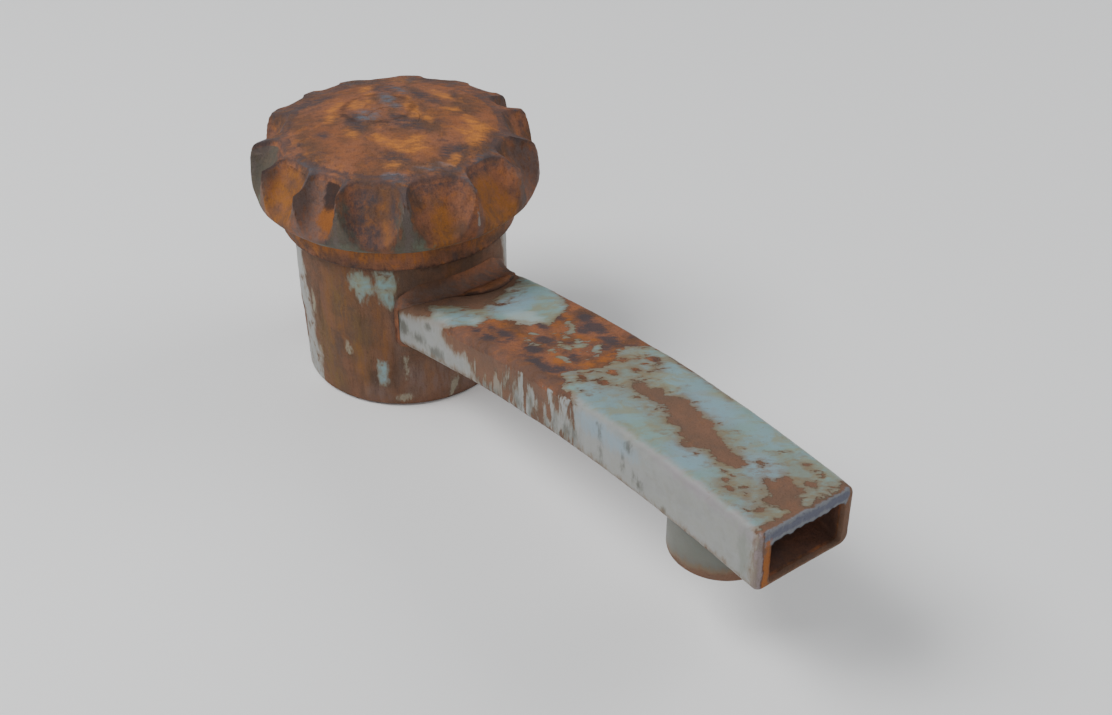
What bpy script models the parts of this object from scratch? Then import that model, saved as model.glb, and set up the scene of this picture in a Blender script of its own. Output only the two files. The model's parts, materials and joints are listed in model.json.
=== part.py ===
"""A deck-mounted single tap (hose bib) with a fluted knob and a flat arched spout.

The frame: the origin is the centre of the body's base, +Z runs up the knob's axis and
the spout runs along +X.  Every length is in metres.  Each piece is a separate closed
solid, drawn with the valve shut, and pieces that touch keep FIT_GAP between them.
"""
import math

import bmesh
import bpy

MM = 0.001
FIT_GAP = 0.3 * MM
CUT_OVERSHOOT = 1.0 * MM

# Body casing
BODY_RADIUS = 23.0 * MM
BODY_WAIST_RADIUS = 22.8 * MM
BODY_BASE_RADIUS = 22.4 * MM
BODY_WAIST_Z = 15.0 * MM
BODY_HEIGHT = 35.7 * MM
BODY_EDGE = 0.5 * MM
BASE_THICKNESS = 10.0 * MM
CHAMBER_RADIUS = 14.0 * MM
WEB_BOTTOM_Z = 13.5 * MM
WEB_TOP_Z = 17.5 * MM
WEB_HOLE_RADIUS = 6.3 * MM

# Base: seal ring, inlet and fixing studs
SEAL_GROOVE_INNER = 17.0 * MM
SEAL_GROOVE_OUTER = 20.0 * MM
SEAL_GROOVE_DEPTH = 2.7 * MM
SEAL_THICKNESS = 2.2 * MM
INLET_X = -7.4 * MM
INLET_OUTER_RADIUS = 5.6 * MM
INLET_BORE_RADIUS = 4.45 * MM
STUD_X = 8.0 * MM
STUD_Y = 7.5 * MM
STUD_OUTER_RADIUS = 4.6 * MM
STUD_BORE_RADIUS = 3.4 * MM
STUD_HOLE_DEPTH = 8.7 * MM
STUD_INSERT_LENGTH = 8.2 * MM
FILTER_THICKNESS = 0.8 * MM
FILTER_HOLE_RADIUS = 0.9 * MM
FILTER_HOLE_CIRCLE = 2.9 * MM

# Valve seat, washer and carrier
SEAT_BORE_RADIUS = 4.5 * MM
SEAT_LIP_RADIUS = 5.2 * MM
SEAT_FLANGE_RADIUS = 8.0 * MM
SEAT_FLANGE_THICKNESS = 1.0 * MM
SEAT_LIP_HEIGHT = 0.8 * MM
WASHER_RADIUS = 6.5 * MM
WASHER_THICKNESS = 3.0 * MM
WASHER_NUT_INSCRIBED = 3.2 * MM
WASHER_NUT_HEIGHT = 2.2 * MM
CARRIER_STEM_RADIUS = 1.8 * MM
CARRIER_STEM_OVERHANG = 0.5 * MM
CARRIER_INSCRIBED = 7.8 * MM
CARRIER_FLOOR = 1.5 * MM
CARRIER_HEIGHT = 8.4 * MM
CARRIER_BORE_RADIUS = 4.7 * MM

# Headwork: bonnet, spindle and their seals
BONNET_BOTTOM_Z = 27.0 * MM
BONNET_GUIDE_INSCRIBED = 8.2 * MM
BONNET_ROOF_Z = 38.5 * MM
BONNET_FLANGE_RADIUS = 17.4 * MM
BONNET_FLANGE_THICKNESS = 2.3 * MM
BONNET_NECK_RADIUS = 9.6 * MM
BONNET_TOP_Z = 44.6 * MM
BONNET_BORE_RADIUS = 5.0 * MM
GASKET_THICKNESS = 0.8 * MM
SPINDLE_BOTTOM_Z = 28.4 * MM
SPINDLE_THREAD_RADIUS = 4.3 * MM
SPINDLE_COLLAR_RADIUS = 6.5 * MM
SPINDLE_COLLAR_THICKNESS = 1.5 * MM
SPINDLE_SHAFT_RADIUS = 4.6 * MM
SPINDLE_SQUARE_HALF = 3.2 * MM
SPINDLE_SQUARE_Z = 46.0 * MM
SPINDLE_TOP_Z = 51.0 * MM
SCREW_HOLE_RADIUS = 1.7 * MM
SCREW_HOLE_BOTTOM_Z = 44.5 * MM
THRUST_WASHER_THICKNESS = 0.5 * MM
THRUST_WASHER_RADIUS = 6.8 * MM
RING_GROOVE_RADIUS = 3.1 * MM
RING_GROOVE_HALF = 0.95 * MM
RING_GROOVE_HEIGHTS = (40.3 * MM, 42.8 * MM)
RING_MIDDLE_RADIUS = 4.05 * MM
RING_SECTION_RADIUS = 0.65 * MM
CIRCLIP_THICKNESS = 0.7 * MM
CIRCLIP_GROOVE_RADIUS = 3.1 * MM
CIRCLIP_INNER_RADIUS = 3.4 * MM
CIRCLIP_OUTER_RADIUS = 7.0 * MM
CIRCLIP_OPENING = math.radians(60.0)

# Collar ring under the knob
COLLAR_RADIUS = 25.3 * MM
COLLAR_TOP_Z = 42.0 * MM
COLLAR_PLATE_THICKNESS = 2.3 * MM
COLLAR_EDGE = 0.6 * MM

# Knob: a domed cap whose side is scooped by one finger flute between each pair of ridges
KNOB_BOTTOM_Z = 42.3 * MM
KNOB_RIM_RADIUS = 29.0 * MM
KNOB_RIM_Z = 54.7 * MM
KNOB_CROWN_Z = 58.6 * MM
KNOB_SIDE = ((0.0, 28.5 * MM), (0.1, 29.6 * MM), (0.25, 30.1 * MM), (0.5, 30.2 * MM),
             (0.72, 30.1 * MM), (0.9, 29.7 * MM), (1.0, KNOB_RIM_RADIUS))
KNOB_DOME_STEPS = (0.8, 0.55, 0.3, 0.12)
RIDGE_ANGLES = (1.0, 26.5, 46.0, 78.0, 93.0, 117.0, 139.5, 171.5, 188.0, 212.0,
                243.0, 264.0, 286.0, 304.5, 332.0)
FLUTE_COLUMNS = (0.0, 0.07, 0.24, 0.5, 0.76, 0.93)
FLUTE_START = 0.06
FLUTE_FLOOR_LOW = 30.6 * MM
FLUTE_RIM_DEPTHS = (5.6 * MM, 5.6 * MM, 5.6 * MM, 4.5 * MM, 1.7 * MM, 1.7 * MM, 1.7 * MM, 1.7 * MM,
                    1.7 * MM, 5.6 * MM, 5.6 * MM, 5.6 * MM, 5.6 * MM, 5.6 * MM, 5.6 * MM)
FLUTE_WIDTH_RATIO = 0.51
KNOB_HOLLOW_RADIUS = 26.0 * MM
KNOB_HOLLOW_TOP_RADIUS = 21.5 * MM
KNOB_HOLLOW_STEP_Z = 45.6 * MM
KNOB_HOLLOW_TOP_Z = 52.3 * MM
KNOB_HUB_RADIUS = 9.6 * MM
KNOB_HUB_BOTTOM_Z = 46.6 * MM
KNOB_SOCKET_TOP_Z = 51.5 * MM
KNOB_SOCKET_INSCRIBED = 6.5 * MM
KNOB_WEB_HOLE_RADIUS = 2.0 * MM
KNOB_RECESS_Z = 53.0 * MM
KNOB_RECESS_RADIUS = 5.8 * MM
INSERT_SQUARE_HALF = 3.5 * MM
SCREW_SHANK_RADIUS = 1.4 * MM
SCREW_END_Z = 45.5 * MM
SCREW_HEAD_RADIUS = 3.4 * MM
SCREW_HEAD_HEIGHT = 2.0 * MM
SCREW_WASHER_RADIUS = 4.4 * MM
SCREW_WASHER_THICKNESS = 0.6 * MM
INDEX_CAP_RADIUS = 5.5 * MM
INDEX_CAP_BOTTOM_Z = 56.6 * MM
INDEX_CAP_EDGE_Z = 58.2 * MM
INDEX_CAP_DOME = ((4.4 * MM, 58.5 * MM), (1.65 * MM, KNOB_CROWN_Z))

# Spout: a flat tube, arched upwards, which narrows towards an open tip
SPOUT_TIP_X = 125.6 * MM
SPOUT_ROOT_TOP_Z = 27.9 * MM
SPOUT_ROOT_SLOPE = 0.2291
SPOUT_ARCH = -1.397
SPOUT_ROOT_HALF_WIDTH = 13.3 * MM
SPOUT_TIP_HALF_WIDTH = 11.0 * MM
SPOUT_ROOT_HEIGHT = 10.8 * MM
SPOUT_TIP_HEIGHT = 12.8 * MM
SPOUT_WALL = 1.5 * MM
SPOUT_CORNER_RADIUS = 2.0 * MM
LEAST_CORNER_RADIUS = 0.5 * MM
CORNER_STEPS = 3
SPOUT_STATIONS = 9
FILLET_SIZE = 2.4 * MM
FILLET_LIP = 0.55 * MM
FILLET_STEPS = 4
FLAT_STEPS = 6
PORT_HALF_WIDTH = 9.5 * MM
PORT_BOTTOM_Z = 19.6 * MM
PORT_TOP_Z = 26.0 * MM
SPIGOT_WALL = 1.2 * MM
SPIGOT_START_X = 14.5 * MM
SPIGOT_END_X = 27.8 * MM
END_PLUG_X = 114.3 * MM
END_PLUG_THICKNESS = 1.5 * MM

# Nozzle and aerator under the tip
NOZZLE_X = 106.3 * MM
NOZZLE_RADIUS = 10.2 * MM
NOZZLE_BOTTOM_Z = 15.4 * MM
NOZZLE_TOP_Z = 24.1 * MM
NOZZLE_WEB = 3.5 * MM
NOZZLE_LIP_RADIUS = 7.4 * MM
NOZZLE_LIP_HEIGHT = 0.8 * MM
NOZZLE_CUP_RADIUS = 8.3 * MM
NOZZLE_SPIGOT_RADIUS = 5.1 * MM
NOZZLE_SPIGOT_BORE = 4.0 * MM
SOCKET_BORE_RADIUS = 5.4 * MM
SOCKET_STEM_RADIUS = 6.6 * MM
SOCKET_FLANGE_RADIUS = 7.6 * MM
SOCKET_FLANGE_Z = 26.8 * MM
SOCKET_TOP_Z = 28.0 * MM
SOCKET_BOTTOM_Z = 24.4 * MM
GASKET_GROOVE_INNER = 6.2 * MM
GASKET_GROOVE_OUTER = 8.6 * MM
GASKET_GROOVE_DEPTH = 0.8 * MM
AERATOR_DISC_RADIUS = 8.0 * MM
AERATOR_DISC_Z = 16.5 * MM
AERATOR_DISC_THICKNESS = 1.0 * MM
AERATOR_HOLE_RADIUS = 1.3 * MM
AERATOR_HOLE_CIRCLE = 5.0 * MM
AERATOR_HOLES = 8
SCREEN_Z = 17.9 * MM
SCREEN_THICKNESS = 0.3 * MM
SCREEN_PITCH = 2.6 * MM
SCREEN_HOLE = 1.9 * MM
SCREEN_REACH = 2

ROUND_POINTS = 48
SMALL_POINTS = 24
RING_POINTS = 16
SHARP_ANGLE = math.radians(30.0)

# Finish of each kind of piece: colour, roughness and metallic value
RUSTED_IRON = ((0.28, 0.12, 0.05, 1.0), 0.85, 0.2)
RUSTED_COLLAR = ((0.33, 0.13, 0.04, 1.0), 0.85, 0.2)
PAINTED_STEEL = ((0.50, 0.58, 0.54, 1.0), 0.55, 0.0)
DARK_METAL = ((0.16, 0.16, 0.18, 1.0), 0.6, 0.6)
BRASS = ((0.62, 0.46, 0.20, 1.0), 0.4, 0.9)
STAINLESS = ((0.60, 0.60, 0.60, 1.0), 0.3, 1.0)
RUBBER = ((0.03, 0.03, 0.03, 1.0), 0.8, 0.0)
WHITE_PLASTIC = ((0.75, 0.75, 0.72, 1.0), 0.5, 0.0)


def clear_scene():
    """Start from an empty scene."""
    for item in list(bpy.data.objects):
        bpy.data.objects.remove(item, do_unlink=True)


def axis_empty(name):
    """An empty on the knob's axis, which carries the pieces that move together."""
    empty = bpy.data.objects.new(name, None)
    bpy.context.collection.objects.link(empty)
    return empty


def add_piece(name, rings, finish, closed, centre=(0.0, 0.0, 0.0), parent=None):
    """Make one solid from rings of points and give it its own material.

    Each ring is joined to the next.  A closed piece joins its last ring to its first,
    which suits a ring with a hole, and any other piece gets a cap at both ends.
    """
    bm = bmesh.new()
    loops = [[bm.verts.new(point) for point in ring] for ring in rings]
    pairs = list(zip(loops, loops[1:]))
    if closed:
        pairs.append((loops[-1], loops[0]))
    else:
        bm.faces.new(loops[0])
        bm.faces.new(loops[-1])
    for lower, upper in pairs:
        for index in range(len(lower)):
            after = (index + 1) % len(lower)
            bm.faces.new((lower[index], lower[after], upper[after], upper[index]))
    bmesh.ops.recalc_face_normals(bm, faces=bm.faces[:])
    mesh = bpy.data.meshes.new(name)
    bm.to_mesh(mesh)
    bm.free()
    mesh.shade_smooth()
    mesh.set_sharp_from_angle(angle=SHARP_ANGLE)
    piece = bpy.data.objects.new(name, mesh)
    piece.location = centre
    piece.parent = parent
    bpy.context.collection.objects.link(piece)
    if finish is not None:
        mesh.materials.append(make_material(name, finish))
    return piece


def make_material(name, finish):
    """A plain Principled material with the finish's colour, roughness and metallic value."""
    colour, roughness, metallic = finish
    material = bpy.data.materials.new(name)
    material.use_nodes = True
    shader = material.node_tree.nodes["Principled BSDF"]
    shader.inputs["Base Color"].default_value = colour
    shader.inputs["Roughness"].default_value = roughness
    shader.inputs["Metallic"].default_value = metallic
    return material


def cut(piece, cutter):
    """Cut one hidden solid out of a piece."""
    cutter.hide_render = True
    cutter.display_type = "WIRE"
    modifier = piece.modifiers.new(cutter.name, "BOOLEAN")
    modifier.operation = "DIFFERENCE"
    modifier.solver = "EXACT"
    modifier.object = cutter


def circle(radius, z, count=ROUND_POINTS):
    """A level ring of points on a circle."""
    angles = [2.0 * math.pi * step / count for step in range(count)]
    return [(radius * math.cos(angle), radius * math.sin(angle), z) for angle in angles]


def polygon(sides, inscribed, z, count=SMALL_POINTS):
    """A level ring of points on a regular polygon, given the radius to its flats."""
    sector = 2.0 * math.pi / sides
    ring = []
    for step in range(count):
        angle = 2.0 * math.pi * step / count
        radius = inscribed / math.cos(angle % sector - sector / 2.0)
        ring.append((radius * math.cos(angle), radius * math.sin(angle), z))
    return ring


def turned(name, profile, finish, closed=True, count=ROUND_POINTS, **placing):
    """A turned solid: its profile is a list of (radius, height) points."""
    rings = [circle(radius, z, count) for radius, z in profile]
    return add_piece(name, rings, finish, closed, **placing)


def washer(name, inner, outer, bottom, thickness, finish, **placing):
    """A flat ring."""
    top = bottom + thickness
    profile = [(inner, bottom), (outer, bottom), (outer, top), (inner, top)]
    return turned(name, profile, finish, **placing)


def o_ring(name, middle, section, z, finish, points=8, **placing):
    """A rubber ring of round section."""
    angles = [2.0 * math.pi * step / points for step in range(points)]
    profile = [(middle + section * math.cos(angle), z + section * math.sin(angle))
               for angle in angles]
    return turned(name, profile, finish, **placing)


def block(name, low, high):
    """A box between two corners, used as a cutter."""
    (x0, y0, z0), (x1, y1, z1) = low, high
    rings = [[(x0, y0, z), (x1, y0, z), (x1, y1, z), (x0, y1, z)] for z in (z0, z1)]
    return add_piece(name, rings, None, closed=False)


def hole_cutter(name, centres, radius, bottom, top, points=SMALL_POINTS, turn=0.0):
    """One cutter with an upright prism at each centre, turned by an angle."""
    bm = bmesh.new()
    for x, y in centres:
        loops = []
        for z in (bottom, top):
            angles = [turn + 2.0 * math.pi * step / points for step in range(points)]
            loops.append([bm.verts.new((x + radius * math.cos(a), y + radius * math.sin(a), z))
                          for a in angles])
        bm.faces.new(list(reversed(loops[0])))
        bm.faces.new(loops[1])
        for index in range(points):
            after = (index + 1) % points
            bm.faces.new((loops[0][index], loops[0][after], loops[1][after], loops[1][index]))
    mesh = bpy.data.meshes.new(name)
    bm.to_mesh(mesh)
    bm.free()
    cutter = bpy.data.objects.new(name, mesh)
    bpy.context.collection.objects.link(cutter)
    return cutter


# ---------------------------------------------------------------- body and base

def make_body():
    """The cast body: a thick base, an inlet chamber, the seat web and the valve chamber."""
    profile = [
        (SEAL_GROOVE_INNER, 0.0),
        (SEAL_GROOVE_INNER, SEAL_GROOVE_DEPTH),
        (SEAL_GROOVE_OUTER, SEAL_GROOVE_DEPTH),
        (SEAL_GROOVE_OUTER, 0.0),
        (BODY_BASE_RADIUS - BODY_EDGE, 0.0),
        (BODY_BASE_RADIUS, BODY_EDGE),
        (BODY_WAIST_RADIUS, BODY_WAIST_Z),
        (BODY_RADIUS, WEB_TOP_Z),
        (BODY_RADIUS, BODY_HEIGHT - BODY_EDGE),
        (BODY_RADIUS - BODY_EDGE, BODY_HEIGHT),
        (CHAMBER_RADIUS, BODY_HEIGHT),
        (CHAMBER_RADIUS, WEB_TOP_Z),
        (WEB_HOLE_RADIUS, WEB_TOP_Z),
        (WEB_HOLE_RADIUS, WEB_BOTTOM_Z),
        (CHAMBER_RADIUS, WEB_BOTTOM_Z),
        (CHAMBER_RADIUS, BASE_THICKNESS),
    ]
    body = turned("body_casing", profile, RUSTED_IRON, closed=False)
    inlet_hole = hole_cutter("cut_inlet", [(INLET_X, 0.0)], INLET_OUTER_RADIUS + FIT_GAP,
                             -CUT_OVERSHOOT, BASE_THICKNESS + CUT_OVERSHOOT)
    stud_holes = hole_cutter("cut_studs", [(STUD_X, STUD_Y), (STUD_X, -STUD_Y)],
                             STUD_OUTER_RADIUS + FIT_GAP, -CUT_OVERSHOOT, STUD_HOLE_DEPTH)
    port = block("cut_port",
                 (CHAMBER_RADIUS - CUT_OVERSHOOT, -PORT_HALF_WIDTH, PORT_BOTTOM_Z),
                 (BODY_RADIUS + CUT_OVERSHOOT, PORT_HALF_WIDTH, PORT_TOP_Z))
    for cutter in (inlet_hole, stud_holes, port):
        cut(body, cutter)


def make_base_pieces():
    """The seal ring, the threaded inlet bush with its filter, and the stud inserts."""
    seal_gap = (SEAL_GROOVE_DEPTH - SEAL_THICKNESS) / 2.0
    washer("base_seal_ring", SEAL_GROOVE_INNER + FIT_GAP, SEAL_GROOVE_OUTER - FIT_GAP,
           seal_gap, SEAL_THICKNESS, RUBBER)
    washer("inlet_bush", INLET_BORE_RADIUS, INLET_OUTER_RADIUS, 0.0,
           BASE_THICKNESS - FIT_GAP, BRASS, centre=(INLET_X, 0.0, 0.0), count=SMALL_POINTS)
    make_filter()
    for name, side in (("stud_insert_left", 1.0), ("stud_insert_right", -1.0)):
        washer(name, STUD_BORE_RADIUS, STUD_OUTER_RADIUS, 0.0, STUD_INSERT_LENGTH,
               BRASS, centre=(STUD_X, side * STUD_Y, 0.0), count=SMALL_POINTS)


def make_filter():
    """The strainer disc that lies over the inlet, with one middle hole and six round it."""
    bottom = BASE_THICKNESS + FIT_GAP
    top = bottom + FILTER_THICKNESS
    centre = (INLET_X, 0.0, 0.0)
    disc = turned("inlet_filter", [(INLET_OUTER_RADIUS, bottom), (INLET_OUTER_RADIUS, top)],
                  STAINLESS, closed=False, centre=centre, count=SMALL_POINTS)
    centres = [(INLET_X, 0.0)]
    centres += [(INLET_X + x, y) for x, y, _ in circle(FILTER_HOLE_CIRCLE, 0.0, 6)]
    cut(disc, hole_cutter("cut_filter", centres, FILTER_HOLE_RADIUS,
                          bottom - FIT_GAP, top + FIT_GAP, points=8))


# ---------------------------------------------------------------- valve

def seat_top():
    """Height of the seat's lip, which the tap washer closes."""
    return WEB_TOP_Z + FIT_GAP + SEAT_FLANGE_THICKNESS + SEAT_LIP_HEIGHT


def carrier_bottom():
    """Height of the carrier's underside when the valve is shut."""
    return seat_top() + FIT_GAP + WASHER_THICKNESS + FIT_GAP


def make_seat():
    """The renewable seat: a stem in the web, a flange on it and a raised lip."""
    stem = WEB_HOLE_RADIUS - FIT_GAP
    flange_bottom = WEB_TOP_Z + FIT_GAP
    flange_top = flange_bottom + SEAT_FLANGE_THICKNESS
    profile = [
        (SEAT_BORE_RADIUS, WEB_BOTTOM_Z + FIT_GAP),
        (stem, WEB_BOTTOM_Z + FIT_GAP),
        (stem, flange_bottom),
        (SEAT_FLANGE_RADIUS, flange_bottom),
        (SEAT_FLANGE_RADIUS, flange_top),
        (SEAT_LIP_RADIUS, flange_top),
        (SEAT_LIP_RADIUS, seat_top()),
        (SEAT_BORE_RADIUS, seat_top()),
    ]
    turned("seat_ring", profile, STAINLESS, count=SMALL_POINTS)


def make_valve(axis):
    """The hexagonal carrier, the rubber washer under it and the nut that holds it."""
    washer_bottom = seat_top() + FIT_GAP
    washer("tap_washer", CARRIER_STEM_RADIUS + FIT_GAP, WASHER_RADIUS, washer_bottom,
           WASHER_THICKNESS, RUBBER, parent=axis, count=SMALL_POINTS)
    nut_top = washer_bottom - FIT_GAP
    nut_bottom = nut_top - WASHER_NUT_HEIGHT
    nut_bore = CARRIER_STEM_RADIUS + FIT_GAP
    add_piece("washer_nut",
              [circle(nut_bore, nut_bottom, SMALL_POINTS),
               polygon(6, WASHER_NUT_INSCRIBED, nut_bottom),
               polygon(6, WASHER_NUT_INSCRIBED, nut_top),
               circle(nut_bore, nut_top, SMALL_POINTS)],
              BRASS, closed=True, parent=axis)
    bottom = carrier_bottom()
    top = bottom + CARRIER_HEIGHT
    floor = bottom + CARRIER_FLOOR
    add_piece("valve_carrier",
              [circle(CARRIER_STEM_RADIUS, nut_bottom - CARRIER_STEM_OVERHANG, SMALL_POINTS),
               circle(CARRIER_STEM_RADIUS, bottom, SMALL_POINTS),
               polygon(6, CARRIER_INSCRIBED, bottom),
               polygon(6, CARRIER_INSCRIBED, top),
               circle(CARRIER_BORE_RADIUS, top, SMALL_POINTS),
               circle(CARRIER_BORE_RADIUS, floor, SMALL_POINTS)],
              BRASS, closed=False, parent=axis)


# ---------------------------------------------------------------- headwork

def make_bonnet():
    """The bonnet screwed into the body, with the hexagonal guide for the carrier."""
    barrel = CHAMBER_RADIUS - FIT_GAP
    gasket_bottom = BODY_HEIGHT + FIT_GAP
    flange_bottom = gasket_bottom + GASKET_THICKNESS + FIT_GAP
    flange_top = flange_bottom + BONNET_FLANGE_THICKNESS
    rings = [
        polygon(6, BONNET_GUIDE_INSCRIBED, BONNET_BOTTOM_Z),
        circle(barrel, BONNET_BOTTOM_Z, SMALL_POINTS),
        circle(barrel, flange_bottom, SMALL_POINTS),
        circle(BONNET_FLANGE_RADIUS, flange_bottom, SMALL_POINTS),
        circle(BONNET_FLANGE_RADIUS, flange_top, SMALL_POINTS),
        circle(BONNET_NECK_RADIUS, flange_top, SMALL_POINTS),
        circle(BONNET_NECK_RADIUS, BONNET_TOP_Z, SMALL_POINTS),
        circle(BONNET_BORE_RADIUS, BONNET_TOP_Z, SMALL_POINTS),
        circle(BONNET_BORE_RADIUS, BONNET_ROOF_Z, SMALL_POINTS),
        polygon(6, BONNET_GUIDE_INSCRIBED, BONNET_ROOF_Z),
    ]
    add_piece("headwork_bonnet", rings, BRASS, closed=True)
    washer("bonnet_gasket", CHAMBER_RADIUS + FIT_GAP, BONNET_FLANGE_RADIUS,
           gasket_bottom, GASKET_THICKNESS, RUBBER, count=SMALL_POINTS)


def make_collar():
    """The plain ring that covers the headwork between the body and the knob."""
    bottom = BODY_HEIGHT + FIT_GAP
    plate_bottom = COLLAR_TOP_Z - COLLAR_PLATE_THICKNESS
    flange_bore = BONNET_FLANGE_RADIUS + FIT_GAP
    neck_bore = BONNET_NECK_RADIUS + FIT_GAP
    profile = [
        (flange_bore, bottom),
        (COLLAR_RADIUS - COLLAR_EDGE, bottom),
        (COLLAR_RADIUS, bottom + COLLAR_EDGE),
        (COLLAR_RADIUS, COLLAR_TOP_Z - COLLAR_EDGE),
        (COLLAR_RADIUS - COLLAR_EDGE, COLLAR_TOP_Z),
        (neck_bore, COLLAR_TOP_Z),
        (neck_bore, plate_bottom),
        (flange_bore, plate_bottom),
    ]
    turned("collar_ring", profile, RUSTED_COLLAR)


def spindle_profile():
    """Radii and heights of the round part of the spindle, from its foot upwards."""
    collar_bottom = BONNET_ROOF_Z - THRUST_WASHER_THICKNESS - 2.0 * FIT_GAP - SPINDLE_COLLAR_THICKNESS
    collar_top = collar_bottom + SPINDLE_COLLAR_THICKNESS
    profile = [
        (SPINDLE_THREAD_RADIUS, SPINDLE_BOTTOM_Z),
        (SPINDLE_THREAD_RADIUS, collar_bottom),
        (SPINDLE_COLLAR_RADIUS, collar_bottom),
        (SPINDLE_COLLAR_RADIUS, collar_top),
        (SPINDLE_SHAFT_RADIUS, collar_top),
    ]
    for height in RING_GROOVE_HEIGHTS:
        profile += [
            (SPINDLE_SHAFT_RADIUS, height - RING_GROOVE_HALF),
            (RING_GROOVE_RADIUS, height - RING_GROOVE_HALF),
            (RING_GROOVE_RADIUS, height + RING_GROOVE_HALF),
            (SPINDLE_SHAFT_RADIUS, height + RING_GROOVE_HALF),
        ]
    profile += [
        (SPINDLE_SHAFT_RADIUS, BONNET_TOP_Z),
        (CIRCLIP_GROOVE_RADIUS, BONNET_TOP_Z),
        (CIRCLIP_GROOVE_RADIUS, SPINDLE_SQUARE_Z),
    ]
    return profile


def make_spindle(axis):
    """The spindle: a thread in the carrier, a thrust collar, two ring grooves, a square."""
    rings = [circle(radius, z, RING_POINTS) for radius, z in spindle_profile()]
    rings += [
        polygon(4, SPINDLE_SQUARE_HALF, SPINDLE_SQUARE_Z, RING_POINTS),
        polygon(4, SPINDLE_SQUARE_HALF, SPINDLE_TOP_Z, RING_POINTS),
        circle(SCREW_HOLE_RADIUS, SPINDLE_TOP_Z, RING_POINTS),
        circle(SCREW_HOLE_RADIUS, SCREW_HOLE_BOTTOM_Z, RING_POINTS),
    ]
    add_piece("spindle", rings, BRASS, closed=False, parent=axis)
    washer("thrust_washer", BONNET_BORE_RADIUS, THRUST_WASHER_RADIUS,
           BONNET_ROOF_Z - FIT_GAP - THRUST_WASHER_THICKNESS, THRUST_WASHER_THICKNESS,
           WHITE_PLASTIC, parent=axis, count=SMALL_POINTS)
    names = ("spindle_o_ring_lower", "spindle_o_ring_upper")
    for name, height in zip(names, RING_GROOVE_HEIGHTS):
        o_ring(name, RING_MIDDLE_RADIUS, RING_SECTION_RADIUS, height, RUBBER,
               parent=axis, count=RING_POINTS)


def make_circlip(axis):
    """The open spring ring that keeps the spindle from dropping."""
    bottom = BONNET_TOP_Z + FIT_GAP
    top = bottom + CIRCLIP_THICKNESS
    sweep = 2.0 * math.pi - CIRCLIP_OPENING
    rings = []
    for step in range(SMALL_POINTS + 1):
        angle = CIRCLIP_OPENING / 2.0 + sweep * step / SMALL_POINTS
        across = (math.cos(angle), math.sin(angle))
        rings.append([(radius * across[0], radius * across[1], z) for radius, z in (
            (CIRCLIP_INNER_RADIUS, bottom), (CIRCLIP_OUTER_RADIUS, bottom),
            (CIRCLIP_OUTER_RADIUS, top), (CIRCLIP_INNER_RADIUS, top))])
    add_piece("spindle_circlip", rings, STAINLESS, closed=False, parent=axis)


# ---------------------------------------------------------------- knob

def dome_height(radius):
    """Height of the knob's shallow dome at a distance from its axis."""
    return KNOB_CROWN_Z - (KNOB_CROWN_Z - KNOB_RIM_Z) * (radius / KNOB_RIM_RADIUS) ** 2


def flute_columns():
    """Each column of the knob's side: its angle, the angle from its flute's middle, the
    radius of the scoop that cuts the flute, and the radius of the flute's floor at the rim."""
    columns = []
    ridges = [math.radians(angle) for angle in RIDGE_ANGLES]
    for index, start in enumerate(ridges):
        end = ridges[index + 1] if index + 1 < len(ridges) else ridges[0] + 2.0 * math.pi
        width = end - start
        scoop = width * KNOB_RIM_RADIUS * FLUTE_WIDTH_RATIO
        rim_floor = KNOB_RIM_RADIUS - FLUTE_RIM_DEPTHS[index]
        for share in FLUTE_COLUMNS:
            columns.append((start + width * share, width * (share - 0.5), scoop, rim_floor))
    return columns


def side_radius(height_share, ridge_radius, off_middle, scoop, rim_floor):
    """Radius of the knob's side: the ridge line, or the scoop where that cuts deeper."""
    rise = (height_share - FLUTE_START) / (1.0 - FLUTE_START)
    floor = FLUTE_FLOOR_LOW + (rim_floor - FLUTE_FLOOR_LOW) * rise
    centre = floor + scoop
    reach = scoop ** 2 - (centre * math.sin(off_middle)) ** 2
    if reach <= 0.0:
        return ridge_radius
    return min(ridge_radius, centre * math.cos(off_middle) - math.sqrt(reach))


def knob_side_ring(height_share, ridge_radius, columns):
    """One ring of the knob's side, at a share of the way up to the dome's edge."""
    ring = []
    for angle, *flute in columns:
        rim = side_radius(1.0, KNOB_RIM_RADIUS, *flute)
        radius = side_radius(height_share, ridge_radius, *flute)
        z = KNOB_BOTTOM_Z + (dome_height(rim) - KNOB_BOTTOM_Z) * height_share
        ring.append((radius * math.cos(angle), radius * math.sin(angle), z))
    return ring


def knob_dome_ring(share, columns):
    """One ring of the dome: the scalloped rim drawn in towards the axis."""
    ring = []
    for angle, *flute in columns:
        radius = share * side_radius(1.0, KNOB_RIM_RADIUS, *flute)
        ring.append((radius * math.cos(angle), radius * math.sin(angle), dome_height(radius)))
    return ring


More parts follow.
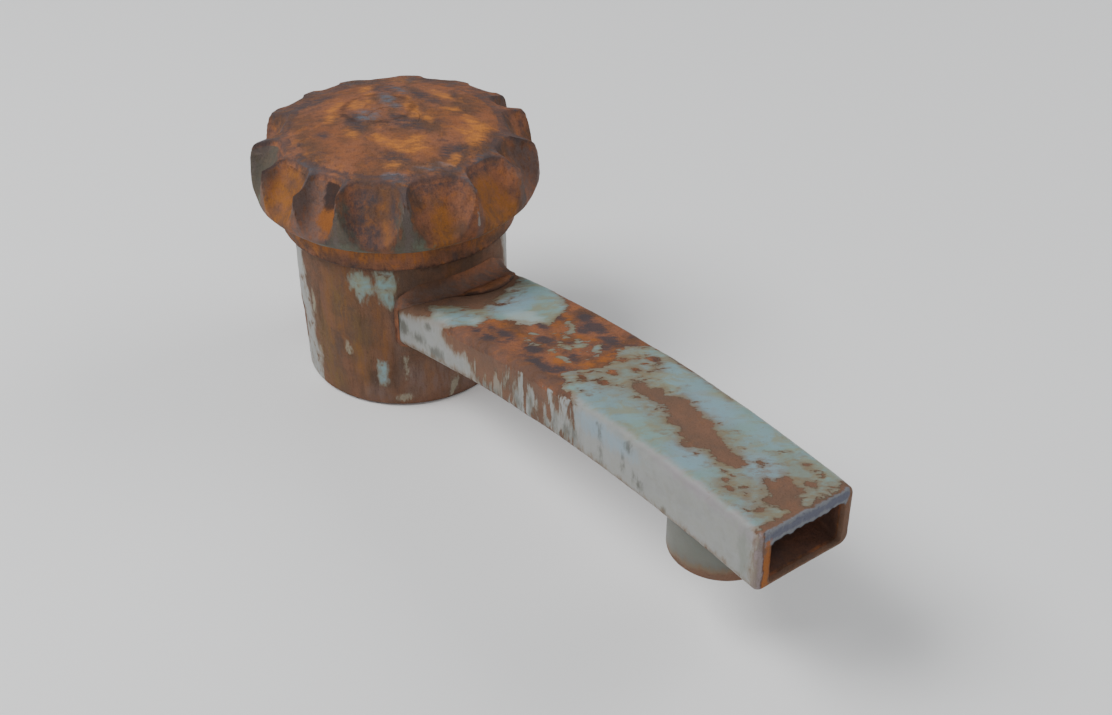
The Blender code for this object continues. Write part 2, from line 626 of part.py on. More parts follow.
def make_knob(axis):
    """The knob's casting: a fluted, domed shell with a hub that takes the insert."""
    columns = flute_columns()
    angles = [column[0] for column in columns]
    inside = ((KNOB_HOLLOW_RADIUS, KNOB_BOTTOM_Z), (KNOB_HOLLOW_RADIUS, KNOB_HOLLOW_STEP_Z),
              (KNOB_HOLLOW_TOP_RADIUS, KNOB_HOLLOW_TOP_Z), (KNOB_HUB_RADIUS, KNOB_HOLLOW_TOP_Z),
              (KNOB_HUB_RADIUS, KNOB_HUB_BOTTOM_Z))
    rings = [[(radius * math.cos(angle), radius * math.sin(angle), z) for angle in angles]
             for radius, z in reversed(inside)]
    rings += [knob_side_ring(share, radius, columns) for share, radius in KNOB_SIDE]
    rings += [knob_dome_ring(share, columns) for share in KNOB_DOME_STEPS]
    knob = add_piece("knob", rings, RUSTED_IRON, closed=False, parent=axis)
    socket = add_piece("cut_knob_hub",
                       [polygon(6, KNOB_SOCKET_INSCRIBED, KNOB_HUB_BOTTOM_Z - CUT_OVERSHOOT),
                        polygon(6, KNOB_SOCKET_INSCRIBED, KNOB_SOCKET_TOP_Z),
                        circle(KNOB_WEB_HOLE_RADIUS, KNOB_SOCKET_TOP_Z, SMALL_POINTS),
                        circle(KNOB_WEB_HOLE_RADIUS, KNOB_RECESS_Z, SMALL_POINTS),
                        circle(KNOB_RECESS_RADIUS, KNOB_RECESS_Z, SMALL_POINTS),
                        circle(KNOB_RECESS_RADIUS, KNOB_CROWN_Z + CUT_OVERSHOOT, SMALL_POINTS)],
                       None, closed=False)
    cut(knob, socket)


def make_knob_fittings(axis):
    """The insert on the spindle's square, the screw, its washer and the index cap."""
    bottom = KNOB_HUB_BOTTOM_Z
    top = KNOB_SOCKET_TOP_Z - FIT_GAP
    outside = KNOB_SOCKET_INSCRIBED - FIT_GAP
    add_piece("knob_insert",
              [polygon(4, INSERT_SQUARE_HALF, bottom), polygon(6, outside, bottom),
               polygon(6, outside, top), polygon(4, INSERT_SQUARE_HALF, top)],
              WHITE_PLASTIC, closed=True, parent=axis)
    washer_bottom = KNOB_RECESS_Z + FIT_GAP
    washer("screw_washer", KNOB_WEB_HOLE_RADIUS, SCREW_WASHER_RADIUS, washer_bottom,
           SCREW_WASHER_THICKNESS, STAINLESS, parent=axis, count=SMALL_POINTS)
    head_bottom = washer_bottom + SCREW_WASHER_THICKNESS + FIT_GAP
    head_top = head_bottom + SCREW_HEAD_HEIGHT
    turned("knob_screw",
           [(SCREW_SHANK_RADIUS, SCREW_END_Z), (SCREW_SHANK_RADIUS, head_bottom),
            (SCREW_HEAD_RADIUS, head_bottom), (SCREW_HEAD_RADIUS, head_top)],
           STAINLESS, closed=False, parent=axis, count=SMALL_POINTS)
    turned("index_cap",
           [(INDEX_CAP_RADIUS, INDEX_CAP_BOTTOM_Z), (INDEX_CAP_RADIUS, INDEX_CAP_EDGE_Z),
            *INDEX_CAP_DOME],
           DARK_METAL, closed=False, parent=axis, count=SMALL_POINTS)


# ---------------------------------------------------------------- spout

def spout_top(x):
    """Height of the arched top face."""
    along = x - BODY_RADIUS
    return SPOUT_ROOT_TOP_Z + SPOUT_ROOT_SLOPE * along + SPOUT_ARCH * along ** 2


def along_spout(x, root_value, tip_value):
    """A value that changes evenly from the spout's root to its tip."""
    share = (x - BODY_RADIUS) / (SPOUT_TIP_X - BODY_RADIUS)
    return root_value + (tip_value - root_value) * share


def body_surface_x(y):
    """Where the body's side, with the fit gap on it, lies at a distance from its middle."""
    return math.sqrt((BODY_RADIUS + FIT_GAP) ** 2 - y ** 2)


def section_outline(half_width, half_height, corner):
    """Points round a rounded rectangle, finely spaced where it meets the round body."""
    flat = half_width - corner
    upright = half_height - corner
    points = []
    for quarter, (side_y, side_z) in enumerate(((1, 1), (-1, 1), (-1, -1), (1, -1))):
        for step in range(CORNER_STEPS + 1):
            angle = math.radians(90.0 * (quarter + step / CORNER_STEPS))
            points.append((side_y * flat + corner * math.cos(angle),
                           side_z * upright + corner * math.sin(angle)))
        if quarter % 2 == 0:
            points += [(side_y * flat * (1.0 - 2.0 * step / FLAT_STEPS), side_z * half_height)
                       for step in range(1, FLAT_STEPS)]
    return points


def section_ring(share, offset):
    """A ring round the spout at a share of its length, offset outwards from its surface.

    At the root the ring lies against the round body, and at the tip it is flat.
    """
    middle_x = BODY_RADIUS + FIT_GAP + share * (SPOUT_TIP_X - BODY_RADIUS - FIT_GAP)
    half_width = along_spout(middle_x, SPOUT_ROOT_HALF_WIDTH, SPOUT_TIP_HALF_WIDTH) + offset
    height = along_spout(middle_x, SPOUT_ROOT_HEIGHT, SPOUT_TIP_HEIGHT)
    corner = max(SPOUT_CORNER_RADIUS + offset, LEAST_CORNER_RADIUS)
    ring = []
    for y, z in section_outline(half_width, height / 2.0 + offset, corner):
        root = body_surface_x(y)
        x = root + share * (SPOUT_TIP_X - root)
        ring.append((x, y, spout_top(x) - height / 2.0 + z))
    return ring


def make_spout():
    """The spout's tube, open at both ends, with a hole for the nozzle in its floor."""
    shares = [step / (SPOUT_STATIONS - 1) for step in range(SPOUT_STATIONS)]
    rings = [section_ring(share, 0.0) for share in shares]
    rings += [section_ring(share, -SPOUT_WALL) for share in reversed(shares)]
    spout = add_piece("spout_shell", rings, PAINTED_STEEL, closed=True)
    floor_z = spout_top(NOZZLE_X) - SPOUT_TIP_HEIGHT
    cut(spout, hole_cutter("cut_nozzle", [(NOZZLE_X, 0.0)], SOCKET_STEM_RADIUS + FIT_GAP,
                           floor_z - CUT_OVERSHOOT, floor_z + SPOUT_WALL + CUT_OVERSHOOT))


def make_root_fillet():
    """The brazed fillet round the spout's root, hollow like a cove moulding."""
    length = SPOUT_TIP_X - BODY_RADIUS - FIT_GAP
    outside = []
    for step in range(FILLET_STEPS + 1):
        angle = 0.5 * math.pi * step / FILLET_STEPS
        along = FILLET_SIZE * (1.0 - math.cos(angle))
        proud = FILLET_LIP + (FILLET_SIZE - FILLET_LIP) * (1.0 - math.sin(angle))
        outside.append(section_ring(along / length, proud))
    inside = [section_ring(FILLET_SIZE / length, FIT_GAP), section_ring(0.0, FIT_GAP)]
    add_piece("spout_root_fillet", outside + inside, RUSTED_IRON, closed=True)


def make_spigot():
    """The flat tube that carries the water from the body's port into the spout."""
    rings = []
    for inset, stations in ((0.0, (SPIGOT_START_X, SPIGOT_END_X)),
                            (SPIGOT_WALL, (SPIGOT_END_X, SPIGOT_START_X))):
        low = PORT_BOTTOM_Z + FIT_GAP + inset
        high = PORT_TOP_Z - FIT_GAP - inset
        half = PORT_HALF_WIDTH - FIT_GAP - inset
        rings += [[(x, half, low), (x, half, high), (x, -half, high), (x, -half, low)]
                  for x in stations]
    add_piece("spout_spigot", rings, BRASS, closed=True)


def make_end_plug():
    """The plate across the tube, behind the open tip, that turns the water down."""
    rings = []
    for x in (END_PLUG_X, END_PLUG_X + END_PLUG_THICKNESS):
        half_width = along_spout(x, SPOUT_ROOT_HALF_WIDTH, SPOUT_TIP_HALF_WIDTH)
        height = along_spout(x, SPOUT_ROOT_HEIGHT, SPOUT_TIP_HEIGHT)
        inset = SPOUT_WALL + FIT_GAP
        outline = section_outline(half_width - inset, height / 2.0 - inset, LEAST_CORNER_RADIUS)
        rings.append([(x, y, spout_top(x) - height / 2.0 + z) for y, z in outline])
    add_piece("spout_end_plug", rings, PAINTED_STEEL, closed=False)


# ---------------------------------------------------------------- nozzle

def make_nozzle():
    """The socket in the spout's floor and the screwed aerator housing with its gasket."""
    centre = (NOZZLE_X, 0.0, 0.0)
    socket = [
        (SOCKET_BORE_RADIUS, SOCKET_BOTTOM_Z),
        (SOCKET_STEM_RADIUS, SOCKET_BOTTOM_Z),
        (SOCKET_STEM_RADIUS, SOCKET_FLANGE_Z),
        (SOCKET_FLANGE_RADIUS, SOCKET_FLANGE_Z),
        (SOCKET_FLANGE_RADIUS, SOCKET_TOP_Z),
        (SOCKET_BORE_RADIUS, SOCKET_TOP_Z),
    ]
    turned("nozzle_socket", socket, BRASS, centre=centre, count=SMALL_POINTS)
    web_bottom = NOZZLE_TOP_Z - NOZZLE_WEB - GASKET_GROOVE_DEPTH
    lip_top = NOZZLE_BOTTOM_Z + NOZZLE_LIP_HEIGHT
    groove_z = NOZZLE_TOP_Z - GASKET_GROOVE_DEPTH
    housing = [
        (NOZZLE_LIP_RADIUS, NOZZLE_BOTTOM_Z),
        (NOZZLE_RADIUS - BODY_EDGE, NOZZLE_BOTTOM_Z),
        (NOZZLE_RADIUS, NOZZLE_BOTTOM_Z + BODY_EDGE),
        (NOZZLE_RADIUS, NOZZLE_TOP_Z),
        (GASKET_GROOVE_OUTER, NOZZLE_TOP_Z),
        (GASKET_GROOVE_OUTER, groove_z),
        (NOZZLE_SPIGOT_RADIUS, groove_z),
        (NOZZLE_SPIGOT_RADIUS, SOCKET_TOP_Z),
        (NOZZLE_SPIGOT_BORE, SOCKET_TOP_Z),
        (NOZZLE_SPIGOT_BORE, web_bottom),
        (NOZZLE_CUP_RADIUS, web_bottom),
        (NOZZLE_CUP_RADIUS, lip_top),
        (NOZZLE_LIP_RADIUS, lip_top),
    ]
    turned("aerator_housing", housing, DARK_METAL, centre=centre, count=SMALL_POINTS)
    washer("aerator_gasket", GASKET_GROOVE_INNER, GASKET_GROOVE_OUTER - FIT_GAP,
           groove_z + FIT_GAP, NOZZLE_TOP_Z - groove_z - FIT_GAP, RUBBER,
           centre=centre, count=SMALL_POINTS)


def make_aerator():
    """The drilled aerator disc and the square-mesh screen above it."""
    centre = (NOZZLE_X, 0.0, 0.0)
    top = AERATOR_DISC_Z + AERATOR_DISC_THICKNESS
    disc = turned("aerator_insert",
                  [(AERATOR_DISC_RADIUS, AERATOR_DISC_Z), (AERATOR_DISC_RADIUS, top)],
                  WHITE_PLASTIC, closed=False, centre=centre, count=SMALL_POINTS)
    centres = [(NOZZLE_X, 0.0)]
    centres += [(NOZZLE_X + x, y) for x, y, _ in circle(AERATOR_HOLE_CIRCLE, 0.0, AERATOR_HOLES)]
    cut(disc, hole_cutter("cut_aerator", centres, AERATOR_HOLE_RADIUS,
                          AERATOR_DISC_Z - FIT_GAP, top + FIT_GAP, points=8))
    screen_top = SCREEN_Z + SCREEN_THICKNESS
    screen = turned("aerator_screen",
                    [(AERATOR_DISC_RADIUS, SCREEN_Z), (AERATOR_DISC_RADIUS, screen_top)],
                    STAINLESS, closed=False, centre=centre, count=SMALL_POINTS)
    steps = range(-SCREEN_REACH, SCREEN_REACH + 1)
    cells = [(NOZZLE_X + column * SCREEN_PITCH, row * SCREEN_PITCH)
             for column in steps for row in steps
             if math.hypot(column, row) * SCREEN_PITCH < AERATOR_DISC_RADIUS - SCREEN_HOLE]
    cut(screen, hole_cutter("cut_screen", cells, SCREEN_HOLE / math.sqrt(2.0),
                            SCREEN_Z - FIT_GAP, screen_top + FIT_GAP, points=4,
                            turn=math.pi / 4.0))


def main():
    clear_scene()
    handle_axis = axis_empty("handle_axis")
    valve_axis = axis_empty("valve_axis")
    make_body()
    make_base_pieces()
    make_seat()
    make_bonnet()
    make_collar()
    make_spout()
    make_root_fillet()
    make_spigot()
    make_end_plug()
    make_nozzle()
    make_aerator()
    make_spindle(handle_axis)
    make_circlip(handle_axis)
    make_knob(handle_axis)
    make_knob_fittings(handle_axis)
    make_valve(valve_axis)


main()
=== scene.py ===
"""Looks of the hose bib: a rusted single tap with a fluted knob and a flat arched spout.

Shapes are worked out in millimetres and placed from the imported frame.  Each painted piece
carries fields, one number per point, that say how far inside a patch of bare rust or of
colour that point lies, in millimetres.  The materials turn those fields into ragged,
chipped edges with noise.
"""
import json
import math

import bmesh
import bpy
import numpy as np
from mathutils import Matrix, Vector, noise


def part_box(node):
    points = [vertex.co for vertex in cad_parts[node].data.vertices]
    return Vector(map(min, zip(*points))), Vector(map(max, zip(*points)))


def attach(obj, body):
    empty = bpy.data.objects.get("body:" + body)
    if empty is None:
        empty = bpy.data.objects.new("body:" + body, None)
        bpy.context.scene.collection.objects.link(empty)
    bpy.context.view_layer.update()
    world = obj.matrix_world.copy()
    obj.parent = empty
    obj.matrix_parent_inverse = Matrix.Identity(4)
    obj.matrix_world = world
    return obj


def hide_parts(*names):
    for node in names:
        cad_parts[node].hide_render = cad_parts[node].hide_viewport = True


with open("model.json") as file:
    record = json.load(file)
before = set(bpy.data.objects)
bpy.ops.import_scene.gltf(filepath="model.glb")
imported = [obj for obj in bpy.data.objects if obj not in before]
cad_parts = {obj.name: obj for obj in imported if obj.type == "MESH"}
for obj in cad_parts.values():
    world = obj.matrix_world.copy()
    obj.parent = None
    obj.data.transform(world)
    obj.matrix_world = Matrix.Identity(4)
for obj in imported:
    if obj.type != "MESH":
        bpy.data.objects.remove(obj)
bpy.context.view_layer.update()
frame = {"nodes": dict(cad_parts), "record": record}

MM = 0.001
FAR = 30.0
TINY = 1e-9


def span(node, axis):
    """Lowest and highest coordinate of a CAD node along an axis, in millimetres."""
    low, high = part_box(node)
    return low[axis] / MM, high[axis] / MM


# ---------------------------------------------------------------- sizes from the frame

BODY_TOP_Z = span("body_casing", 2)[1]
BODY_RADIUS = -span("body_casing", 0)[0]
COLLAR_RADIUS = span("collar_ring", 1)[1]
COLLAR_BOTTOM_Z, COLLAR_TOP_Z = span("collar_ring", 2)
KNOB_BOTTOM_Z, KNOB_CROWN_Z = span("knob", 2)
SPOUT_TIP_X = span("spout_shell", 0)[1]
SPOUT_LENGTH = SPOUT_TIP_X - BODY_RADIUS
NOZZLE_X = sum(span("aerator_housing", 0)) / 2.0
NOZZLE_RADIUS = span("aerator_housing", 1)[1]
NOZZLE_BOTTOM_Z = span("aerator_housing", 2)[0]
NOZZLE_TOP_Z = span("aerator_gasket", 2)[1]
INLET_X = sum(span("inlet_bush", 0)) / 2.0
INLET_RADIUS = span("inlet_bush", 1)[1]
STUD_X = sum(span("stud_insert_left", 0)) / 2.0
STUD_Y = sum(span("stud_insert_left", 1)) / 2.0
STUD_RADIUS = span("stud_insert_left", 1)[1] - STUD_Y

# The spout's arch, width and height, as its CAD solid has them
SPOUT_ROOT_TOP_Z = 27.9
SPOUT_ROOT_SLOPE = 0.2291
SPOUT_ARCH = -0.001397
SPOUT_HALF_WIDTHS = (13.3, 11.0)
SPOUT_HEIGHTS = (10.8, 12.8)
SPOUT_WALL = 1.5
SPOUT_CORNER = 2.1

# The knob's ridges, in degrees from the spout, and the scoops between them
RIDGE_ANGLES = (1.0, 26.5, 46.0, 78.0, 93.0, 117.0, 139.5, 171.5, 188.0, 212.0,
                243.0, 264.0, 286.0, 304.5, 332.0)
KNOB_RIM_RADIUS = 29.0
KNOB_RIM_Z = 54.7
KNOB_SIDE_SHARES = (0.0, 0.1, 0.25, 0.5, 0.72, 0.9, 1.0)
KNOB_SIDE_RADII = (28.7, 30.0, 30.6, 30.6, 30.4, 29.9, 29.2)
KNOB_HOLLOW_RADII = (26.0, 21.5)
KNOB_HOLLOW_HEIGHTS = (45.6, 52.3)
FLUTE_START = 0.06
FLUTE_FLOOR_LOW = 30.6
FLUTE_RIM_DEPTHS = (5.6, 5.6, 5.6, 4.5, 1.7, 1.7, 1.7, 1.7, 1.7, 5.6, 5.6, 5.6, 5.6, 5.6, 5.6)
FLUTE_WIDTH_RATIO = 0.51
FLUTE_SQUARENESS = 1.7


# ---------------------------------------------------------------- mesh helpers

def rough(points, size, seed):
    """Smooth noise from -1 to 1 at each point, with bumps of about the given size."""
    shift = Vector((seed * 7.3, seed * 3.1, seed * 5.7))
    return np.array([noise.noise(Vector(point) / size + shift) for point in points])


def build_mesh(name, rings, closed):
    """A mesh of quads over rings of points, capped at both ends unless it is closed."""
    rings = np.asarray(rings, float)
    count, width = rings.shape[:2]
    index = np.arange(count * width).reshape(count, width)
    lower, upper = (index, np.roll(index, -1, axis=0)) if closed else (index[:-1], index[1:])
    faces = np.stack([lower, np.roll(lower, -1, axis=1), np.roll(upper, -1, axis=1), upper], -1)
    faces = faces.reshape(-1, 4).tolist()
    if not closed:
        faces += [index[0].tolist(), index[-1].tolist()]
    mesh = bpy.data.meshes.new(name)
    mesh.from_pydata((rings.reshape(-1, 3) * MM).tolist(), [], faces)
    bm = bmesh.new()
    bm.from_mesh(mesh)
    bmesh.ops.recalc_face_normals(bm, faces=bm.faces[:])
    bm.to_mesh(mesh)
    bm.free()
    return mesh


def make_piece(name, body, rings, material, closed=True, replaces=(), fields=None,
               sharp=35.0, cutters=()):
    """Build a piece, give it its fields and material, and let it ride on a CAD body."""
    piece = bpy.data.objects.new(name, build_mesh(name, rings, closed))
    bpy.context.scene.collection.objects.link(piece)
    for cutter in cutters:
        cut(piece, cutter)
    if fields is not None:
        store_fields(piece.data, fields)
    piece.data.shade_smooth()
    piece.data.set_sharp_from_angle(angle=math.radians(sharp))
    piece.data.materials.clear()
    piece.data.materials.append(material)
    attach(piece, body)
    if replaces:
        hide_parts(*replaces)


def store_fields(mesh, fields):
    """Store each field on the mesh, with how upright the surface is at each point."""
    count = len(mesh.vertices)
    points = np.empty(count * 3)
    mesh.vertices.foreach_get("co", points)
    normals = np.empty(count * 3)
    mesh.vertex_normals.foreach_get("vector", normals)
    values = {field: np.full(count, -FAR) for field in ("runs", "speckled", "flecked")}
    values["upright"] = 1.0 - np.abs(normals.reshape(-1, 3)[:, 2])
    values.update(fields(points.reshape(-1, 3) / MM))
    for field, numbers in values.items():
        attribute = mesh.attributes.new(field, "FLOAT", "POINT")
        attribute.data.foreach_set("value", np.asarray(numbers, np.float32).ravel())


def cut(piece, rings):
    """Cut a solid, given as rings, out of a piece."""
    cutter = bpy.data.objects.new("cutter", build_mesh("cutter", rings, closed=False))
    bpy.context.scene.collection.objects.link(cutter)
    modifier = piece.modifiers.new("cut", "BOOLEAN")
    modifier.operation = "DIFFERENCE"
    modifier.solver = "EXACT"
    modifier.object = cutter
    bpy.context.view_layer.update()
    evaluated = piece.evaluated_get(bpy.context.evaluated_depsgraph_get())
    result = bpy.data.meshes.new_from_object(evaluated)
    piece.modifiers.clear()
    piece.data = result
    bpy.data.objects.remove(cutter, do_unlink=True)


def even_angles(count):
    """Evenly spaced angles once round a circle."""
    return np.linspace(0.0, 2.0 * math.pi, count, endpoint=False)


def ring_at(radii, angles, z, centre=(0.0, 0.0)):
    """A ring of points at some radii, angles and heights."""
    x = centre[0] + radii * np.cos(angles)
    y = centre[1] + radii * np.sin(angles)
    return np.stack([x, y, np.broadcast_to(z, x.shape)], -1)


def circle(radius, z, count=96, centre=(0.0, 0.0)):
    """A level ring of points."""
    return ring_at(radius, even_angles(count), z, centre)


def polygon_ring(sides, inscribed, z, count=96):
    """A level ring of points on a regular polygon, given the radius to its flats."""
    angles = even_angles(count)
    sector = 2.0 * math.pi / sides
    return ring_at(inscribed / np.cos(np.mod(angles + TINY, sector) - sector / 2.0), angles, z)


def softened(profile, radius, closed=True, steps=4):
    """A profile with each corner replaced by a short curve of about the given radius."""
    points = [np.array(point, float) for point in profile]
    last = len(points) - 1
    result = []
    for index, point in enumerate(points):
        if not closed and index in (0, last):
            result.append(tuple(point))
            continue
        before = points[index - 1]
        after = points[(index + 1) % len(points)]
        reach = min(radius, 0.45 * np.linalg.norm(before - point), 0.45 * np.linalg.norm(after - point))
        start = point + (before - point) / np.linalg.norm(before - point) * reach
        end = point + (after - point) / np.linalg.norm(after - point) * reach
        for step in range(steps + 1):
            share = step / steps
            mixed = (1 - share) ** 2 * start + 2 * share * (1 - share) * point + share ** 2 * end
            result.append(tuple(mixed))
    return result


def divided(profile, spacing, closed=True):
    """A profile with points added so that none are further apart than the spacing."""
    pairs = list(zip(profile, profile[1:]))
    if closed:
        pairs.append((profile[-1], profile[0]))
    result = []
    for start, end in pairs:
        steps = max(1, int(math.ceil(math.dist(start, end) / spacing)))
        for step in range(steps):
            share = step / steps
            result.append((start[0] + (end[0] - start[0]) * share,
                           start[1] + (end[1] - start[1]) * share))
    if not closed:
        result.append(profile[-1])
    return result


def turned_rings(profile, count=96, centre=(0.0, 0.0)):
    """Rings of a turned solid, from (radius, height) points."""
    return np.array([circle(radius, z, count, centre) for radius, z in profile])


# ---------------------------------------------------------------- fields

def outline_field(u, v, outlines):
    """Signed distance of each point inside the nearest outline: positive within."""
    result = np.full(u.shape, -FAR)
    for outline in outlines:
        corners = np.array(outline, float)
        inside = np.zeros(u.shape, bool)
        nearest = np.full(u.shape, FAR * FAR)
        for start, end in zip(corners, np.roll(corners, -1, axis=0)):
            edge = end - start
            share = ((u - start[0]) * edge[0] + (v - start[1]) * edge[1]) / max(edge @ edge, TINY)
            share = np.clip(share, 0.0, 1.0)
            off_u = u - start[0] - share * edge[0]
            off_v = v - start[1] - share * edge[1]
            nearest = np.minimum(nearest, off_u ** 2 + off_v ** 2)
            crosses = (start[1] > v) != (end[1] > v)
            rise = edge[1] if abs(edge[1]) > TINY else TINY
            at = start[0] + edge[0] * (v - start[1]) / rise
            inside ^= crosses & (u < at)
        distance = np.sqrt(nearest)
        result = np.maximum(result, np.where(inside, distance, -distance))
    return result


def spot_field(u, v, spots):
    """Distance inside the nearest oval spot: (middle u, middle v, half-length, half-width), and
    a turn in degrees where it is not level."""
    result = np.full(u.shape, -FAR)
    for middle_u, middle_v, length, width, *turn in spots:
        angle = math.radians(sum(turn))
        along = (u - middle_u) * math.cos(angle) + (v - middle_v) * math.sin(angle)
        across = (v - middle_v) * math.cos(angle) - (u - middle_u) * math.sin(angle)
        reach = np.sqrt((along / length) ** 2 + (across / width) ** 2)
        result = np.maximum(result, (1.0 - reach) * min(length, width))
    return result


def path_field(u, v, paths):
    """Distance inside the nearest line: each path is (half its width, its points)."""
    result = np.full(u.shape, -FAR)
    for half_width, points in paths:
        for start, end in zip(points, points[1:]):
            edge = (end[0] - start[0], end[1] - start[1])
            share = ((u - start[0]) * edge[0] + (v - start[1]) * edge[1]) / math.dist(start, end) ** 2
            share = np.clip(share, 0.0, 1.0)
            off = np.hypot(u - start[0] - share * edge[0], v - start[1] - share * edge[1])
            result = np.maximum(result, half_width - off)
    return result


def shape_field(u, v, shapes, scale=1.0):
    """Distance inside the nearest of some outlines, paths or spots, whose u is first scaled."""
    if isinstance(shapes[0][0], tuple):
        outlines = [[(place * scale, rise) for place, rise in shape] for shape in shapes]
        return outline_field(u, v, outlines)
    if isinstance(shapes[0][1], tuple):
        paths = [(width, [(place * scale, rise) for place, rise in path]) for width, path in shapes]
        return path_field(u, v, paths)
    return spot_field(u, v, [(place * scale, *rest) for place, *rest in shapes])


def bearing(x, y):
    """Degrees from the spout, counted from -140 so that no patch is split."""
    angle = np.degrees(np.arctan2(y, x))
    return np.where(angle < -140.0, angle + 360.0, angle)


def smoothstep(values, low, high):
    """0 below low, 1 above high, and smooth between them."""
    share = np.clip((values - low) / (high - low), 0.0, 1.0)
    return share * share * (3.0 - 2.0 * share)


# ---------------------------------------------------------------- material helpers

class Shader:
    """Builds one Principled material node by node, working in millimetres."""

    def __init__(self, name):
        self.material = bpy.data.materials.new(name)
        self.material.use_nodes = True
        self.tree = self.material.node_tree
        self.surface = self.tree.nodes["Principled BSDF"]
        coordinates = self.tree.nodes.new("ShaderNodeTexCoord")
        scale = self.tree.nodes.new("ShaderNodeVectorMath")
        scale.operation = "SCALE"
        scale.inputs["Scale"].default_value = 1.0 / MM
        self.tree.links.new(coordinates.outputs["Object"], scale.inputs[0])
        self.place = scale.outputs[0]

    def put(self, socket, value):
        """Link an output to a socket, or set the socket to a plain value."""
        if isinstance(value, bpy.types.NodeSocket):
            self.tree.links.new(value, socket)
        elif isinstance(value, tuple) and len(value) == 3 and socket.type == "RGBA":
            socket.default_value = (*value, 1.0)
        else:
            socket.default_value = value

    def math(self, operation, first, second):
        """A number worked out from two others."""
        node = self.tree.nodes.new("ShaderNodeMath")
        node.operation = operation
        self.put(node.inputs[0], first)
        self.put(node.inputs[1], second)
        return node.outputs[0]

    def times(self, first, second):
        """The product of two numbers."""
        return self.math("MULTIPLY", first, second)

    def step(self, value, low, high):
        """0 below low, 1 above high, and smooth between them."""
        node = self.tree.nodes.new("ShaderNodeMapRange")
        node.interpolation_type = "SMOOTHSTEP"
        self.put(node.inputs["Value"], value)
        self.put(node.inputs["From Min"], low)
        self.put(node.inputs["From Max"], high)
        return node.outputs["Result"]
    def patch(self, value, low, high, cover):
        """A smooth step from 0 to 1, times how strongly the patch covers."""
        return self.times(self.step(value, low, high), cover)

    def mix(self, share, first, second):
        """A colour that goes from the first to the second as the share goes from 0 to 1."""
        node = self.tree.nodes.new("ShaderNodeMix")
        node.data_type = "RGBA"
        self.put(node.inputs[0], share)
        self.put(node.inputs[6], first)
        self.put(node.inputs[7], second)
        return node.outputs[2]

    def noise(self, size, detail=4.0, roughness=0.55, stretch=(1.0, 1.0, 1.0), seed=0.0,
              distortion=0.0, turn=0.0):
        """Noise from 0 to 1 whose blobs are about size millimetres, stretched along axes that
        are turned about the vertical."""
        mapping = self.tree.nodes.new("ShaderNodeMapping")
        mapping.vector_type = "TEXTURE"
        mapping.inputs["Location"].default_value = (seed * 17.0, seed * 9.0, seed * 11.0)
        mapping.inputs["Rotation"].default_value = (0.0, 0.0, math.radians(turn))
        mapping.inputs["Scale"].default_value = [size * factor for factor in stretch]
        self.tree.links.new(self.place, mapping.inputs["Vector"])
        node = self.tree.nodes.new("ShaderNodeTexNoise")
        node.inputs["Scale"].default_value = 1.0
        node.inputs["Detail"].default_value = detail
        node.inputs["Roughness"].default_value = roughness
        node.inputs["Distortion"].default_value = distortion
        self.tree.links.new(mapping.outputs["Vector"], node.inputs["Vector"])
        return node.outputs[0]

    def field(self, name):
        """A field stored on the mesh, in millimetres inside a patch."""
        node = self.tree.nodes.new("ShaderNodeAttribute")
        node.attribute_name = name
        return node.outputs["Fac"]

    def jitter(self, amount, size, detail=5.0, seed=0.0, stretch=(1.0, 1.0, 1.0), turn=0.0):
        """Noise centred on zero, whose usual reach is about the amount given."""
        value = self.noise(size, detail, 0.65, stretch, seed, turn=turn)
        return self.times(self.math("SUBTRACT", value, 0.5), 4.0 * amount)

    def blend(self, share, first, second):
        """A number that goes from the first to the second as the share goes from 0 to 1."""
        change = self.math("SUBTRACT", second, first)
        return self.math("ADD", first, self.times(share, change))

    def total(self, *values):
        """The sum of some numbers."""
        result = values[0]
        for value in values[1:]:
            result = self.math("ADD", result, value)
        return result

    def finish(self, colour, roughness, height, sheen=0.5):
        """Connect colour, roughness, sheen and a height in millimetres: returns the material."""
        bump = self.tree.nodes.new("ShaderNodeBump")
        bump.inputs["Distance"].default_value = MM
        self.put(self.surface.inputs["Specular IOR Level"], sheen)
        self.put(bump.inputs["Height"], height)
        self.put(self.surface.inputs["Base Color"], colour)
        self.put(self.surface.inputs["Roughness"], roughness)
        self.tree.links.new(bump.outputs["Normal"], self.surface.inputs["Normal"])
        return self.material


# Colours, as plain reflectance
DARK_RUST = (0.045, 0.026, 0.021)
PIT_AND_SHADE_BLACK = (0.030, 0.022, 0.022)
BROWN_RUST = (0.115, 0.060, 0.038)
SALMON_RUST = (0.240, 0.098, 0.052)
ORANGE_RUST = (0.360, 0.125, 0.026)
YELLOW_RUST = (0.560, 0.200, 0.036)
AMBER_RUST = (0.250, 0.092, 0.040)
OCHRE_RUST = (0.165, 0.098, 0.036)
UMBER_RUST = (0.150, 0.094, 0.066)
MAUVE_METAL = (0.140, 0.100, 0.088)
SLATE_METAL = (0.056, 0.047, 0.052)
BLUE_METAL = (0.110, 0.122, 0.145)
MINT_PAINT = (0.180, 0.275, 0.256)
BLUE_PAINT = (0.182, 0.282, 0.304)
WHITE_PAINT = (0.262, 0.266, 0.256)
HIGHLIGHT_PAINT = (0.400, 0.460, 0.450)
STAINED_PAINT = (0.215, 0.205, 0.125)
GREY_STAIN = (0.115, 0.118, 0.102)
BROWN_STAIN = (0.165, 0.100, 0.048)
LILAC_PAINT = (0.245, 0.215, 0.232)
BRASS = (0.62, 0.43, 0.18)
STEEL = (0.56, 0.56, 0.55)
RUBBER = (0.030, 0.030, 0.032)
PLASTIC = (0.70, 0.69, 0.64)

